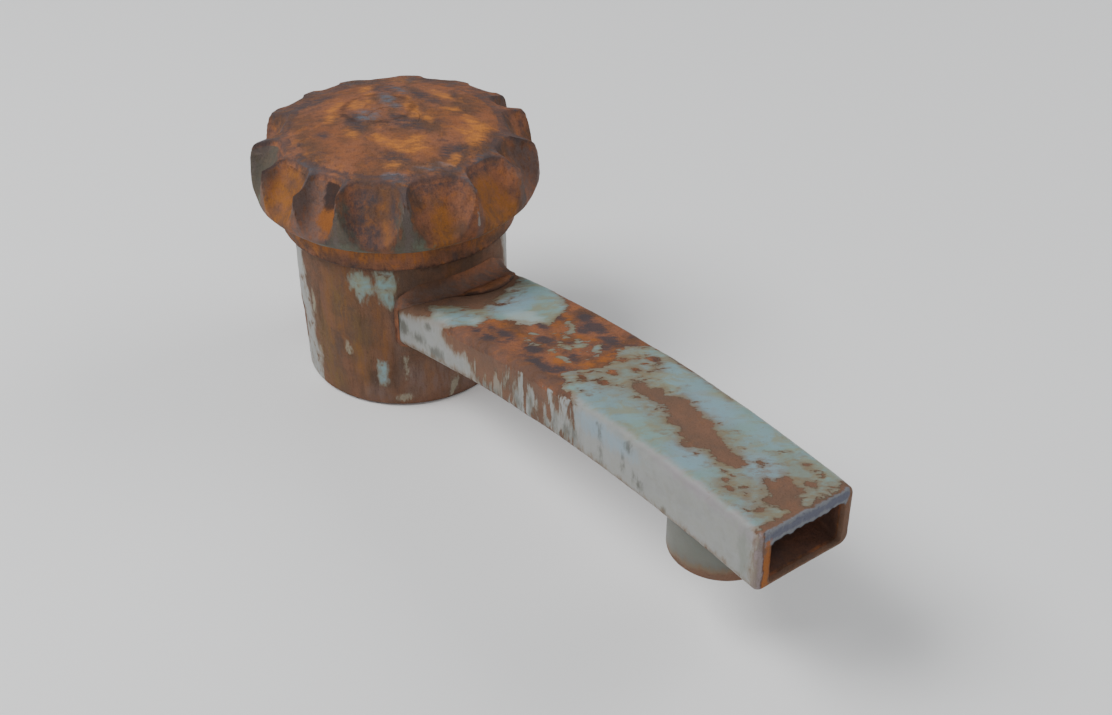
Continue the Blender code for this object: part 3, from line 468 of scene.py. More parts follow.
# What tints each worn finish: its field, its colour, how strongly it covers and how soft its
# edge is.  Those whose field starts with "paint_" lie on the paint and the others on the metal.
SPOUT_TINTS = (
    ("inside", (0.105, 0.060, 0.048), 0.65, 0.6),
    ("umber", UMBER_RUST, 0.72, 0.6),
    ("salmon", (0.128, 0.072, 0.054), 0.85, 2.0),
    ("dark", SLATE_METAL, 0.88, 0.65),
    ("orange", (0.320, 0.108, 0.022), 0.8, 1.1),
    ("lip", (0.185, 0.200, 0.222), 0.9, 0.5),
    ("line", (0.090, 0.095, 0.135), 0.75, 0.6),
    ("tip_orange", (0.300, 0.105, 0.026), 0.9, 0.6),
    ("tip_brown", DARK_RUST, 0.8, 0.3),
    ("tip_pale", (0.260, 0.215, 0.215), 0.9, 0.6),
    ("paint_haze", BROWN_STAIN, 0.32, 2.4),
    ("paint_ochre", OCHRE_RUST, 0.55, 2.6),
    # The pale paint tint is a painted highlight: sheen on the mint near the root and a line along the
    # far long edge.
    ("paint_highlight", HIGHLIGHT_PAINT, 0.45, 1.3),
    ("paint_blue", (0.19, 0.30, 0.38), 0.55, 1.6),
    ("paint_lilac", LILAC_PAINT, 0.7, 1.2),
    ("paint_grey", (0.088, 0.088, 0.072), 0.85, 0.9),
    ("paint_shade", (0.19, 0.20, 0.175), 0.8, 1.0),
)
FILLET_TINTS = (
    ("mauve", (0.120, 0.082, 0.068), 0.9, 1.2),
    ("orange", (0.210, 0.086, 0.036), 0.8, 0.7),
    # The fillet's dark tint is painted shade in the crease and along the crescent's edge.
    ("dark", DARK_RUST, 0.95, 0.35),
)
BODY_TINTS = (
    ("umber", (0.112, 0.072, 0.050), 0.6, 0.65),
    ("ochre", OCHRE_RUST, 0.6, 2.2),
    ("mauve", (0.190, 0.124, 0.102), 0.7, 2.2),
    ("orange", (0.240, 0.096, 0.028), 0.6, 1.4),
    # The body's dark tint is dark rust in streaks and inside, and painted shade across its top under
    # the collar.
    ("dark", DARK_RUST, 0.6, 0.9),
    ("pale", (0.29, 0.27, 0.20), 0.7, 0.5),
)
COLLAR_TINTS = (
    ("orange", ORANGE_RUST, 0.7, 1.2),
    ("dark", DARK_RUST, 0.8, 0.5),
)
KNOB_TINTS = (
    ("amber", AMBER_RUST, 0.7, 2.6),
    ("lilac", (0.130, 0.086, 0.074), 0.9, 0.9),
    ("orange", (0.270, 0.104, 0.024), 0.85, 1.3),
    # The smoke tint is slate mottling, and on the side also painted shade just under the rim.
    ("smoke", SLATE_METAL, 0.85, 1.1),
    ("yellow", YELLOW_RUST, 0.66, 1.1),
    ("worn", DARK_RUST, 0.6, 0.6),
    ("pale", (0.084, 0.081, 0.064), 0.80, 0.65),
    ("green", (0.125, 0.150, 0.108), 0.75, 1.0),
    ("blue", BLUE_METAL, 0.9, 0.9),
    ("ridge", (0.120, 0.090, 0.082), 0.6, 0.6),
    # Round the brim: a dark line, partly wear and partly painted shade along the flutes' top edges.
    ("brim", SLATE_METAL, 0.6, 0.65),
    ("strip", (0.250, 0.086, 0.018), 0.85, 0.65),
    # The black tint is painted shade under the rim at the tops of flutes, and one dark pit.
    ("rim_shade_and_pit", PIT_AND_SHADE_BLACK, 0.85, 0.6),
    # The bright tint is a painted highlight: a glint along two ridges.
    ("ridge_glint", (0.26, 0.235, 0.21), 0.8, 0.3),
    ("dark", DARK_RUST, 0.8, 1.0),
)
NOZZLE_TINTS = (
    ("umber", UMBER_RUST, 0.75, 0.6),
    ("dark", DARK_RUST, 0.8, 0.8),
    ("paint_grey", (0.105, 0.106, 0.088), 0.86, 0.4),
    ("paint_brown", (0.100, 0.070, 0.046), 0.6, 1.6),
)

# Tints on metal with a softer edge than this, in millimetres, are broken up by fine wear
FINE_EDGE = 0.65

# The way the wear runs on top of the spout, in degrees from its length
WEAR_TURN = 53.0
def rust_colour(shader, streak, orange, seed):
    """Mottled rust: brown and salmon ground, orange bloom, dark pits and upright streaks."""
    ground = shader.noise(7.0, 5.0, 0.6, seed=seed)
    colour = shader.mix(shader.step(ground, 0.40, 0.62), BROWN_RUST, SALMON_RUST)
    bloom = shader.noise(3.0, 7.0, 0.7, seed=seed + 2.0, distortion=0.4)
    smoke = shader.noise(4.5, 6.0, 0.65, seed=seed + 3.0, distortion=0.6)
    runs = shader.noise(1.2, 5.0, 0.6, stretch=(1.0, 1.0, 9.0), seed=seed + 4.0)
    pale_runs = shader.noise(0.8, 5.0, 0.6, stretch=(1.0, 1.0, 11.0), seed=seed + 5.0)
    pits = shader.noise(0.55, 6.0, 0.75, seed=seed + 6.0)
    for pattern, low, high, cover, tint in (
            (bloom, 0.50, 0.66, orange, ORANGE_RUST), (smoke, 0.52, 0.70, 0.65, SLATE_METAL),
            (runs, 0.50, 0.68, streak, DARK_RUST),
            (pale_runs, 0.53, 0.70, streak * 0.6, MAUVE_METAL), (pits, 0.52, 0.70, 0.6, DARK_RUST)):
        colour = shader.mix(shader.patch(pattern, low, high, cover), colour, tint)
    return colour


def ragged_edge(shader, ragged, upright, seed):
    """Noise for the edges of patches: slanted on level faces and drawn downwards on walls."""
    level = shader.total(
        shader.jitter(ragged, 2.6, 6.0, seed + 10.0, (2.2, 1.0, 1.5), WEAR_TURN),
        shader.jitter(ragged * 0.5, 0.8, 5.0, seed + 11.0, (2.5, 1.0, 1.0), WEAR_TURN))
    wall = shader.total(
        shader.jitter(ragged, 2.0, 6.0, seed + 14.0, (1.0, 1.0, 2.4)),
        shader.jitter(ragged * 0.5, 0.6, 5.0, seed + 15.0, (1.0, 1.0, 3.0)))
    return shader.blend(upright, level, wall)


def lay_tints(shader, colour, tints, edge, broken=None):
    """Lay tints over a colour, with the soft ones broken up where that is asked for."""
    for field, tint, cover, soft in tints:
        share = shader.patch(shader.total(shader.field(field), edge), -soft, soft, cover)
        if broken is not None and soft > FINE_EDGE:
            share = shader.times(share, broken)
        colour = shader.mix(share, colour, tint)
    return colour


def worn_metal(name, tints=(), streak=0.0, orange=0.6, ragged=0.9, seed=0.0, painted=True):
    """Rusted metal with what is left of its paint: the "rust" field is positive where the metal
    is bare."""
    shader = Shader(name)
    colour = rust_colour(shader, streak, orange, seed)
    upright = shader.step(shader.field("upright"), 0.2, 0.8)
    edge = ragged_edge(shader, ragged, upright, seed)
    thin = shader.noise(1.1, 6.0, 0.7, stretch=(2.4, 1.0, 1.8), seed=seed + 9.0, turn=WEAR_TURN)
    thin_runs = shader.noise(0.9, 6.0, 0.7, stretch=(1.0, 1.0, 5.0), seed=seed + 19.0)
    thin = shader.blend(upright, thin, thin_runs)
    broken = shader.blend(shader.step(thin, 0.60, 0.42), 0.30, 1.0)
    on_paint = [tint for tint in tints if tint[0].startswith("paint_")]
    on_metal = [tint for tint in tints if tint not in on_paint]
    colour = lay_tints(shader, colour, on_metal, edge, broken)
    grain = shader.noise(0.35, 4.0, 0.7, seed=seed + 12.0)
    colour = shader.mix(shader.patch(grain, 0.52, 0.70, 0.35), colour, DARK_RUST)
    coarse = shader.noise(1.6, 5.0, 0.65, seed=seed + 13.0)
    height = shader.total(shader.times(grain, 0.10), shader.times(coarse, 0.24))
    if not painted:
        roughness = shader.total(shader.times(coarse, 0.30), 0.52)
        return shader.finish(colour, roughness, height, 0.14)
    bare = bare_metal(shader, edge, seed)
    softness = shader.blend(upright, 0.16, 0.60)
    covered = shader.step(bare, softness, shader.times(softness, -1.0))
    colour = shader.mix(covered, colour, paint_colour(shader, bare, edge, on_paint, seed))
    skin = shader.total(shader.times(coarse, 0.06), 0.24)
    height = shader.total(shader.times(height, shader.math("SUBTRACT", 1.0, covered)),
                          shader.times(covered, skin))
    roughness = shader.math("SUBTRACT", shader.total(shader.times(coarse, 0.25), 0.58),
                            shader.times(covered, 0.20))
    return shader.finish(colour, roughness, height, shader.blend(covered, 0.12, 0.34))


def bare_metal(shader, edge, seed):
    """How far inside bare metal a point lies, with runs, specks of rust and flecks of paint."""
    runs = shader.jitter(4.2, 1.3, 5.0, seed + 16.0, (1.0, 1.0, 6.0))
    running = shader.times(shader.step(shader.field("runs"), -2.0, 2.0), runs)
    bare = shader.total(shader.field("rust"), edge, running)
    specks = shader.jitter(2.6, 1.6, 6.0, seed + 17.0, (2.0, 1.0, 1.6), WEAR_TURN)
    bare = shader.math("MAXIMUM", bare, shader.total(shader.field("speckled"), specks))
    flecks = shader.jitter(2.6, 1.7, 5.0, seed + 18.0, (2.4, 1.0, 1.6), WEAR_TURN)
    flecked = shader.total(shader.field("flecked"), flecks)
    return shader.math("MINIMUM", bare, shader.times(flecked, -1.0))


def paint_colour(shader, bare, edge, tints, seed):
    """Old paint: green on top, white at the sides, stained near the rust, with dirt."""
    wash = shader.noise(9.0, 5.0, 0.6, seed=seed + 20.0)
    paint = shader.mix(shader.step(wash, 0.42, 0.62), MINT_PAINT, BLUE_PAINT)
    whitening = shader.step(shader.total(shader.field("white"), edge), -1.2, 1.2)
    paint = shader.mix(whitening, paint, WHITE_PAINT)
    stains = shader.step(whitening, 1.4, 0.0)
    grime = shader.noise(4.0, 6.0, 0.65, seed=seed + 24.0)
    paint = shader.mix(shader.patch(grime, 0.40, 0.70, 0.22), paint, GREY_STAIN)
    chalk = shader.noise(3.2, 7.0, 0.7, seed=seed + 21.0, distortion=0.5,
                         stretch=(1.6, 1.0, 1.0), turn=WEAR_TURN)
    amount = shader.patch(chalk, 0.44, 0.62, 0.72)
    paint = shader.mix(shader.times(amount, stains), paint, STAINED_PAINT)
    paint = lay_tints(shader, paint, tints, edge)
    dirty = shader.step(shader.noise(1.5, 5.0, 0.6, (1.0, 1.0, 6.0), seed + 23.0), 0.48, 0.66)
    dirty = shader.times(dirty, shader.step(shader.field("runs"), -3.0, 3.0))
    paint = shader.mix(shader.times(dirty, 0.8), paint, GREY_STAIN)
    paint = shader.mix(shader.patch(bare, -1.7, 0.0, 0.66), paint, BROWN_STAIN)
    specks = shader.noise(0.9, 4.0, 0.75, seed=seed + 22.0)
    amount = shader.patch(specks, 0.60, 0.72, stains)
    return shader.mix(shader.times(amount, 0.6), paint, BROWN_STAIN)


def machined_metal(name, colour, roughness, seed=0.0):
    """Turned metal that has dulled: fine rings, tarnish blotches and a metallic shine."""
    shader = Shader(name)
    shader.surface.inputs["Metallic"].default_value = 1.0
    tarnish = shader.noise(2.5, 6.0, 0.65, seed=seed)
    dull = tuple(0.45 * part for part in colour)
    tone = shader.mix(shader.patch(tarnish, 0.40, 0.70, 0.8), colour, dull)
    rings = shader.noise(0.35, 2.0, 0.5, stretch=(20.0, 20.0, 1.0), seed=seed + 1.0)
    gloss = shader.total(shader.times(tarnish, 0.35), roughness)
    return shader.finish(tone, gloss, shader.times(rings, 0.03))


def moulded(name, colour, roughness, seed=0.0):
    """Rubber or plastic with a faint grain and slight discolouring."""
    shader = Shader(name)
    stain = shader.noise(3.0, 5.0, 0.6, seed=seed)
    aged = tuple(0.7 * part for part in colour)
    tone = shader.mix(shader.step(stain, 0.42, 0.68), colour, aged)
    grain = shader.noise(0.25, 3.0, 0.6, seed=seed + 1.0)
    gloss = shader.total(shader.times(grain, 0.2), roughness)
    return shader.finish(tone, gloss, shader.times(grain, 0.04))


# ---------------------------------------------------------------- shared shape of the spout

SPOUT_TOP_POINTS = 38
SPOUT_SIDE_POINTS = 16
SPOUT_FLOOR_POINTS = 22
SPOUT_CORNER_POINTS = 8
SPOUT_STATIONS = 165
# How far a shell stands off the surface that it sits on, so that the two never share a face
SEAM = 0.05


def spout_outline():
    """Each point of a rounded rectangle as factors: flat y, corner y, flat z, corner z."""
    points = []
    quarters = ((1, 1, SPOUT_TOP_POINTS), (-1, 1, SPOUT_SIDE_POINTS),
                (-1, -1, SPOUT_FLOOR_POINTS), (1, -1, SPOUT_SIDE_POINTS))
    for quarter, (side_y, side_z, flat_points) in enumerate(quarters):
        for step in range(SPOUT_CORNER_POINTS + 1):
            angle = 0.5 * math.pi * (quarter + step / SPOUT_CORNER_POINTS)
            points.append((side_y, math.cos(angle), side_z, math.sin(angle)))
        for step in range(1, flat_points):
            along = 1.0 - 2.0 * step / flat_points
            if quarter % 2 == 0:
                points.append((side_y * along, 0.0, side_z, side_z))
            else:
                points.append((side_y, side_y, side_z * along, 0.0))
    return np.array(points).T


OUTLINE = spout_outline()


def spout_top(x):
    """Height of the arched top face."""
    along = x - BODY_RADIUS
    return SPOUT_ROOT_TOP_Z + SPOUT_ROOT_SLOPE * along + SPOUT_ARCH * along ** 2


def along_spout(x, values):
    """A value that changes evenly from the spout's root to its tip."""
    return values[0] + (values[1] - values[0]) * (x - BODY_RADIUS) / SPOUT_LENGTH


def spout_ring(share, offset):
    """A ring round the spout, offset outwards, against the body at 0 and at the tip at 1."""
    middle = BODY_RADIUS + share * SPOUT_LENGTH
    half_width = along_spout(middle, SPOUT_HALF_WIDTHS) + offset
    half_height = along_spout(middle, SPOUT_HEIGHTS) / 2.0 + offset
    corner = np.maximum(SPOUT_CORNER + offset, 0.4)
    flat_y, corner_y, flat_z, corner_z = OUTLINE
    y = flat_y * (half_width - corner) + corner_y * corner
    z = flat_z * (half_height - corner) + corner_z * corner
    root = np.sqrt((BODY_RADIUS + SEAM) ** 2 - y ** 2)
    ring_x = root + share * (SPOUT_TIP_X - root)
    return np.stack([ring_x, y, spout_top(ring_x) - (half_height - offset) + z], -1)


def relief(rings, amounts, closed):
    """Move each point of a grid of rings outwards along the surface by its own amount."""
    around = np.roll(rings, -1, axis=1) - np.roll(rings, 1, axis=1)
    if closed:
        along = np.roll(rings, -1, axis=0) - np.roll(rings, 1, axis=0)
    else:
        along = np.gradient(rings, axis=0)
    normals = np.cross(around, along)
    middle = rings.reshape(-1, 3).mean(0)
    if np.sum((rings - middle) * normals) < 0.0:
        normals = -normals
    normals /= np.maximum(np.linalg.norm(normals, axis=-1, keepdims=True), TINY)
    return rings + normals * amounts[..., None]


def bumps(rings, size, seed):
    """Noise at each point of a grid of rings."""
    return rough(rings.reshape(-1, 3), size, seed).reshape(rings.shape[:2])


# ---------------------------------------------------------------- spout

# The open end: how far the wall thickens there, and over what length
TIP_LENGTH = 6.0
TIP_ROUND = 0.85
TIP_INNER_ROUND = 0.3
TIP_FACE_RINGS = 6
TIP_NEAR_WALL = 2.0
TIP_FAR_WALL = 0.8
TIP_TOP_WALL = 1.9
TIP_RAGGED = 0.12

# Patches on the spout, as (distance along it, way round it from the middle of its top)
BAND = (
    (37, -13.3), (39.5, -11), (42, -9), (41.5, -7), (40.5, -5), (43, -4), (46, -2.5), (49.5, -1.5),
    (50.5, 0), (53, 1.5), (51, 4), (50, 8.5), (46.5, 10.3), (41, 11.6), (40, 13.5), (43, 17),
    (48, 16), (52, 19), (56, 22), (62, 23), (66, 18), (70, 20), (73, 15), (76, 11.8), (73, 10.8),
    (70, 8), (69, 5), (71.5, 3), (72.5, 0), (71, -3), (70, -5), (69.5, -8), (72.5, -10.8),
    (76.5, -11.8), (75, -12.7), (72, -13.9), (70, -13.3), (69.3, -16.5), (68.7, -24.5),
    (67.3, -24.5), (66.9, -18), (65.5, -15.3), (64, -14.2), (62.8, -16.6), (61.8, -14.3),
    (60, -14.4), (59.1, -17), (58.7, -24.5), (57.9, -24.5), (57.7, -16.2), (56, -16.8), (54, -18.3),
    (53, -19.9), (51, -20.8), (50, -20.3), (49, -21.3), (47, -21.3), (45.5, -19), (44.5, -16.9),
    (41.5, -17.7), (38, -17.3), (36.2, -15.3), (36, -13.8))
STREAK = (
    (80, 0.4), (82, 1.4), (84, 0.2), (86, 2.4), (88, 1.6), (90.5, 3.5), (92.5, 4), (94.5, 3.4),
    (97, 2.5), (99, 2.5), (100, 1), (103, 0.3), (105.5, 0), (109, 0.5), (111, -0.6), (110.5, -2.5),
    (108, -3.8), (106, -3.5), (104, -3), (102, -4.4), (99, -4.1), (96.5, -3.4), (94, -3),
    (92, -1.5), (89, -1), (86, -1.8), (82, -1.3))
LEAF = (
    (117, 3), (118.5, 3.5), (120, 2.2), (121.5, 3), (122, 1.2), (124, 0.5), (124.5, -2),
    (123, -3.5), (121.7, -3.7), (120.5, -5), (119.2, -5), (118.6, -4), (118.9, -2.5), (117, -1.5),
    (115.6, -1), (117.4, 0))
ROOT_ZONE = (
    (15, -14.5), (22, -14.6), (26, -13.9), (30, -12.6), (29, -10.8), (25.5, -9.5), (27, -8.3),
    (30, -6.6), (33, -5.2), (36, -3.2), (33.5, -1.5), (36, 0), (34, 2), (34, 4), (31.5, 5), (31, 8),
    (29.5, 10.5), (28, 12.2), (24, 26), (15, 26))
SPECKLES = (
    (112, -6, 0.6, 0.45), (114, -7, 0.5, 0.4), (117, 7.5, 0.6, 0.4), (121, 4.5, 0.5, 0.4),
    (117, -6, 0.5, 0.4), (121, -6.5, 0.5, 0.4), (76.5, 8, 1.5, 0.9, -20), (73, 3.6, 1.1, 0.5, 40),
    (75.2, -1, 0.9, 0.7, 60), (76.5, -4, 1.1, 0.6), (78, 3, 0.7, 0.5), (72.6, -6, 1, 0.6),
    (79.5, 6.5, 0.8, 0.5), (100.5, -5.2, 0.8, 0.5))
SIDE_STREAKS = (
    (0.28, ((46.5, -16), (46.7, -22))), (0.26, ((48.6, -19), (48.8, -22.5))),
    (0.34, ((58.4, -15), (58.7, -23.5))), (0.26, ((62.8, -15), (63.1, -20.5))),
    (0.45, ((67.8, -13), (68.2, -24))), (0.24, ((70.6, -14), (70.8, -19.5))),
    (0.24, ((73, -13), (73.2, -17))), (0.22, ((76.5, -12.3), (76.7, -16.5))),
    (0.3, ((74, 11.3), (84, 11.1), (95, 10.8))), (0.3, ((88, 12), (88.3, 20))),
    (0.25, ((58, 12), (58, 20))), (0.25, ((104, 12), (104.2, 18))))
SIDE_SMUDGES = (
    (0.4, ((85.3, -14), (85.6, -22))), (0.28, ((93.6, -12.6), (93.2, -14.5))),
    (0.3, ((94.8, -18.5), (95.2, -21.5))), (0.3, ((77.5, -12.5), (78, -22))),
    (0.3, ((92, -17), (92.2, -19.5))), (0.5, ((103, -22), (103.5, -23.5))))
SIDE_DIRT = (
    (33, -21.2, 3, 1.5), (26.5, -19.5, 2, 1), (21, -18.5, 2, 2.2), (50, -22, 2, 1.5),
    (53.5, -22.2, 1.5, 1.2), (61, -20.5, 1, 2), (64.5, -19.2, 1, 2.2), (65, -22.2, 1.2, 1),
    (72, -19.6, 1, 2.5), (75.5, -20, 1, 2.2), (31, -15.5, 1.6, 0.8), (96, -20.6, 1.2, 1.2))
BAND_DARK = (
    (50, 4, 3, 1.6), (70, 6, 3.4, 1.4, 90), (47, -9.6, 4, 0.9), (63, -9, 5, 1), (59, 7.6, 3.2, 1.6),
    (65.5, 6.6, 3, 1.5, 20), (55, 8.6, 2.4, 1.6), (57, -2.8, 2.2, 1.2), (58, -6.8, 3, 1.5),
    (48.5, -6.8, 3.4, 1.5), (67.5, -7, 1.6, 1.5), (66, -3, 1.8, 1.1), (52, 0.6, 1.4, 0.8),
    (61.3, 0, 1.2, 0.8), (44.5, -7.2, 1.6, 1), (66.5, 4, 2, 1), (59, 5.2, 2, 1.2))
BAND_ORANGE = (
    (53, 6.6, 1.4, 0.9), (52.3, 3.6, 1, 0.8), (57.2, 0.6, 2.2, 1.1), (61, 3.5, 1.6, 0.8, 40),
    (64, 4.2, 1.2, 0.6), (70.2, 3, 3.6, 1.3, 90), (45, -5.2, 2.6, 0.8), (52.5, -5, 1.2, 0.6),
    (65, -5.6, 2, 0.8), (54.5, 2.2, 1.4, 0.8), (70, -2.5, 1.2, 0.9, 90))
BAND_FLECKS = (
    (54, 5, 0.7, 0.35), (57, 3.8, 1.5, 0.6, -30), (58.7, 1, 0.8, 0.5), (62, 2, 1.1, 0.6, 40),
    (63.4, 0.4, 1.2, 0.8, 60), (63, -1.6, 1.6, 0.9, 20), (66.2, 2.8, 1.2, 0.6, -60),
    (68, 1.5, 0.9, 0.5, 40), (61.2, -4.3, 1.4, 0.6, 10), (65, -4.6, 1.6, 0.4), (53, -3, 0.9, 0.5),
    (55, -5, 1.3, 0.5), (59.6, -1.4, 0.7, 0.4))
SPECKLED = (
    ((71, 9), (79, 9.5), (80, 4), (86, 3), (88, -2), (80, -3), (78, -8), (71, -9)),
    ((112, 8), (124, 8), (124, -9), (112, -9)),
    ((88, 5), (104, 3), (111, 1), (111, -5), (98, -6), (88, -4)),
    ((27, 12), (33, 9), (38, 1), (38, -5), (32, -8), (27, -10)))
FLECKED = (((53, 5.5), (60, 5), (68, 4), (69, 0), (67, -5.5), (53, -6)),)
HAZE = (
    ((71, 7), (80, 7), (84, 2), (90, -3), (84, -6), (71, -8)),
    ((112, 7), (118, 8), (124, 7), (124, -8), (112, -9)),
    ((28, 13), (33, 9), (38, 2), (39, -4), (33, -8), (28, -10)),
    ((88, 6), (104, 4), (112, 1), (112, -6), (98, -7), (88, -5)),
    ((19, -12.5), (40, -12.3), (38, -14), (19, -15.5)))
SPOUT_SALMON = (((40, -9.5), (72, -9), (76, -12.5), (60, -15), (40, -15)),)
SPOUT_OCHRE = (((45, -16), (58, -15), (57, -22), (46, -23)),)
SPOUT_SHADE = ((122.4, -17.5, 5, 1.1, 90),)
SPOUT_BLUE = ((96, 6, 6, 3), (113, 1, 5, 3), (39, 2, 4, 5), (104, -7, 5, 2), (86, -15, 8, 2))
SPOUT_LILAC = ((123, -12.5, 2, 1.4), (110, -12, 7, 1))
# Painted sheen: pale spots where light glints on the mint near the root.
SPOUT_SHEEN = ((46, -0.5, 5, 3), (42, -6.5, 3, 1.5, 30), (30, -11, 4, 1), (33, 6, 3, 1.2, 50))
SPOUT_LOOKS = {"dark": BAND_DARK, "orange": BAND_ORANGE, "salmon": SPOUT_SALMON,
               "paint_haze": HAZE, "paint_ochre": SPOUT_OCHRE, "paint_shade": SPOUT_SHADE,
               "paint_blue": SPOUT_BLUE, "paint_lilac": SPOUT_LILAC}

# How densely bare specks lie on the paint at some distances along the spout
SPECK_PLACES = (38.0, 60.0, 84.0, 96.0)
SPECK_LEVELS = (-0.95, -1.1, -1.1, -1.35)

# The lengths, from the knob's axis, that carry drips down the side and that keep plain metal
# from turning umber, and where the painted highlight along the far long edge starts
DRIPS_X = (45.0, 80.0)
BAND_X = (36.5, 77.5)
EDGE_HIGHLIGHT_X = 74.0

# How much of the tip is bare on its sides and on top, and how deep its broken end goes
BRINK_SIDE = 0.6
BRINK_TOP = 1.3
BREAK_DEPTH = 0.55


def spout_chart(points):
    """Chart of the spout: x along it, and the way round it from the middle of its top."""
    x, y, z = points.T
    depth = np.maximum(spout_top(x) - z, 0.0)
    half_width = along_spout(x, SPOUT_HALF_WIDTHS)
    height = along_spout(x, SPOUT_HEIGHTS)
    below = depth > height - 0.6
    round_floor = half_width + height + np.maximum(half_width - np.abs(y), 0.0)
    way = np.where(below, round_floor, np.abs(y) + depth)
    return x, np.sign(y) * way, depth, half_width, height


def spout_fields(points):
    """Where the spout is rusted, white and stained, and where a painted highlight lies."""
    x, way, depth, half_width, height = spout_chart(points)
    y = points[:, 1]
    side = np.abs(way) - half_width
    from_wall = np.minimum(half_width - np.abs(y), np.minimum(depth, height - depth))
    inside = np.where(x > SPOUT_TIP_X - 1.0, -FAR, (from_wall - 1.0) * 5.0)
    brink = x - np.where(side > 0.0, SPOUT_TIP_X - BRINK_SIDE, SPOUT_TIP_X - BRINK_TOP)
    rust = shape_field(x, way, (BAND, STREAK, LEAF, ROOT_ZONE))
    rust = np.maximum(rust, shape_field(x, way, SPECKLES))
    rust = np.maximum(rust, shape_field(x, way, SIDE_STREAKS))
    flecks = shape_field(x, way, BAND_FLECKS)
    rust = np.where(flecks > -1.5, np.minimum(rust, -flecks), rust)
    underneath = side - height
    rust = np.maximum(rust, np.minimum(underneath + 1.0, 1.2 * np.sin(x / 7.0) + 0.4))
    rust = np.maximum(rust, np.maximum(brink, (from_wall - 0.95) * 6.0))
    drips = np.minimum(np.minimum(x - DRIPS_X[0], DRIPS_X[1] - x) * 0.6, 3.0)
    # Painted highlight: a pale line along the far long top edge.
    edge_highlight = np.where(x > EDGE_HIGHLIGHT_X, 0.45 - np.abs(way - half_width), -FAR)
    plain = (inside < 0.0) & ((x < BAND_X[0]) | (x > BAND_X[1]) | (side > 1.5))
    result = {look: shape_field(x, way, shapes) for look, shapes in SPOUT_LOOKS.items()}
    result.update({
        "rust": rust,
        "white": np.where(way < 0.0, side + 1.0, side + 0.2),
        "inside": inside,
        "umber": np.where(plain, 1.6, -FAR),
        "runs": np.where(side > 0.5, drips, -FAR),
        "speckled": (np.minimum(shape_field(x, way, SPECKLED) * 0.5, 0.0)
                     + np.interp(x, SPECK_PLACES, SPECK_LEVELS)),
        "flecked": np.minimum(shape_field(x, way, FLECKED), 0.0) - 1.45,
        "paint_grey": np.maximum(shape_field(x, way, SIDE_SMUDGES),
                                 shape_field(x, way, SIDE_DIRT) - 0.2),
        "paint_highlight": np.maximum(edge_highlight, shape_field(x, way, SPOUT_SHEEN)),
    })
    result.update(tip_fields(x - (SPOUT_TIP_X - BREAK_DEPTH), y, depth, half_width))
    return result


def tip_fields(end, y, depth, half_width):
    """The broken end: a pale lip on top under a dark line, and orange inside the near wall."""
    near = y + half_width
    top_lip = np.minimum(3.6 - depth, half_width - 1.3 - np.abs(y))
    return {
        "lip": np.minimum(end, top_lip) * 3.0,
        "line": np.minimum(end, np.minimum(0.8 - np.abs(depth - 1.5), top_lip)) * 2.0,
        "tip_orange": np.minimum(end, np.minimum(0.8 - np.abs(near - 2.2), depth - 2.0)) * 2.0,
        "tip_brown": np.minimum(end, 0.2 - np.abs(near - 1.3)) * 2.0,
        "tip_pale": np.minimum(end + 0.4, 1.15 - near) * 2.0,
    }


def spout_rings():
    """The spout's tube from its root to a worn, thickened end, and back along its inside."""
    last = 1.0 - TIP_ROUND / SPOUT_LENGTH
    inner_last = 1.0 - TIP_INNER_ROUND / SPOUT_LENGTH
    shares = np.linspace(0.0, last, SPOUT_STATIONS)
    rings = [spout_ring(share, 0.0) for share in shares]
    thickened = [0.0] * len(rings)
    for turn in (18.0, 36.0, 54.0, 72.0, 90.0):
        angle = math.radians(turn)
        rings.append(spout_ring(last + (1.0 - last) * math.sin(angle),
                                -TIP_ROUND * (1.0 - math.cos(angle))))
        thickened.append(0.0)
    for step in range(1, TIP_FACE_RINGS + 1):
        share = step / TIP_FACE_RINGS
        width = SPOUT_WALL - TIP_ROUND - TIP_INNER_ROUND
        rings.append(spout_ring(1.0, -TIP_ROUND - width * share))
        thickened.append(share)
    outside = len(rings)
    for turn in (60.0, 30.0):
        angle = math.radians(turn)
        rings.append(spout_ring(inner_last + (1.0 - inner_last) * math.sin(angle),
                                -SPOUT_WALL + TIP_INNER_ROUND * math.sin(angle)))
        thickened.append(1.0)
    rings += [spout_ring(share, -SPOUT_WALL) for share in shares[::-1]]
    thickened += [1.0] * len(shares)
    rings = np.array(rings)
    thickened = np.array(thickened)[:, None]
    near_tip = smoothstep(rings[..., 0], SPOUT_TIP_X - TIP_LENGTH, SPOUT_TIP_X - 0.5) * thickened
    half_width = along_spout(rings[..., 0], SPOUT_HALF_WIDTHS)
    half_height = along_spout(rings[..., 0], SPOUT_HEIGHTS) / 2.0
    across = rings[..., 1] / half_width
    upward = (rings[..., 2] - spout_top(rings[..., 0]) + half_height) / half_height
    sideways = (TIP_NEAR_WALL - TIP_FAR_WALL) / 2.0 - (TIP_NEAR_WALL + TIP_FAR_WALL) / 2.0 * across
    ragged = 1.0 + 0.3 * bumps(rings * (0.0, 1.0, 1.0), 0.8, 3) - 0.16 * across
    rings[..., 1] += near_tip * sideways
    rings[..., 2] -= near_tip * TIP_TOP_WALL * (0.5 + 0.5 * upward) * ragged
    rings[..., 0] += near_tip * TIP_RAGGED * (bumps(rings, 1.8, 4) - 0.5)
    shape = rings.shape[:2]
    amounts = 0.10 * bumps(rings, 9.0, 5) + 0.04 * bumps(rings, 1.5, 6)
    rust = spout_fields(rings.reshape(-1, 3))["rust"].reshape(shape)
    inner = (np.arange(shape[0]) >= outside)[:, None]
    amounts -= 0.12 * smoothstep(rust, -0.5, 0.5) * ~inner
    root_share = smoothstep(rings[..., 0], BODY_RADIUS, BODY_RADIUS + 3.0)
    return relief(rings, amounts * root_share, closed=True)


# ---------------------------------------------------------------- root fillet

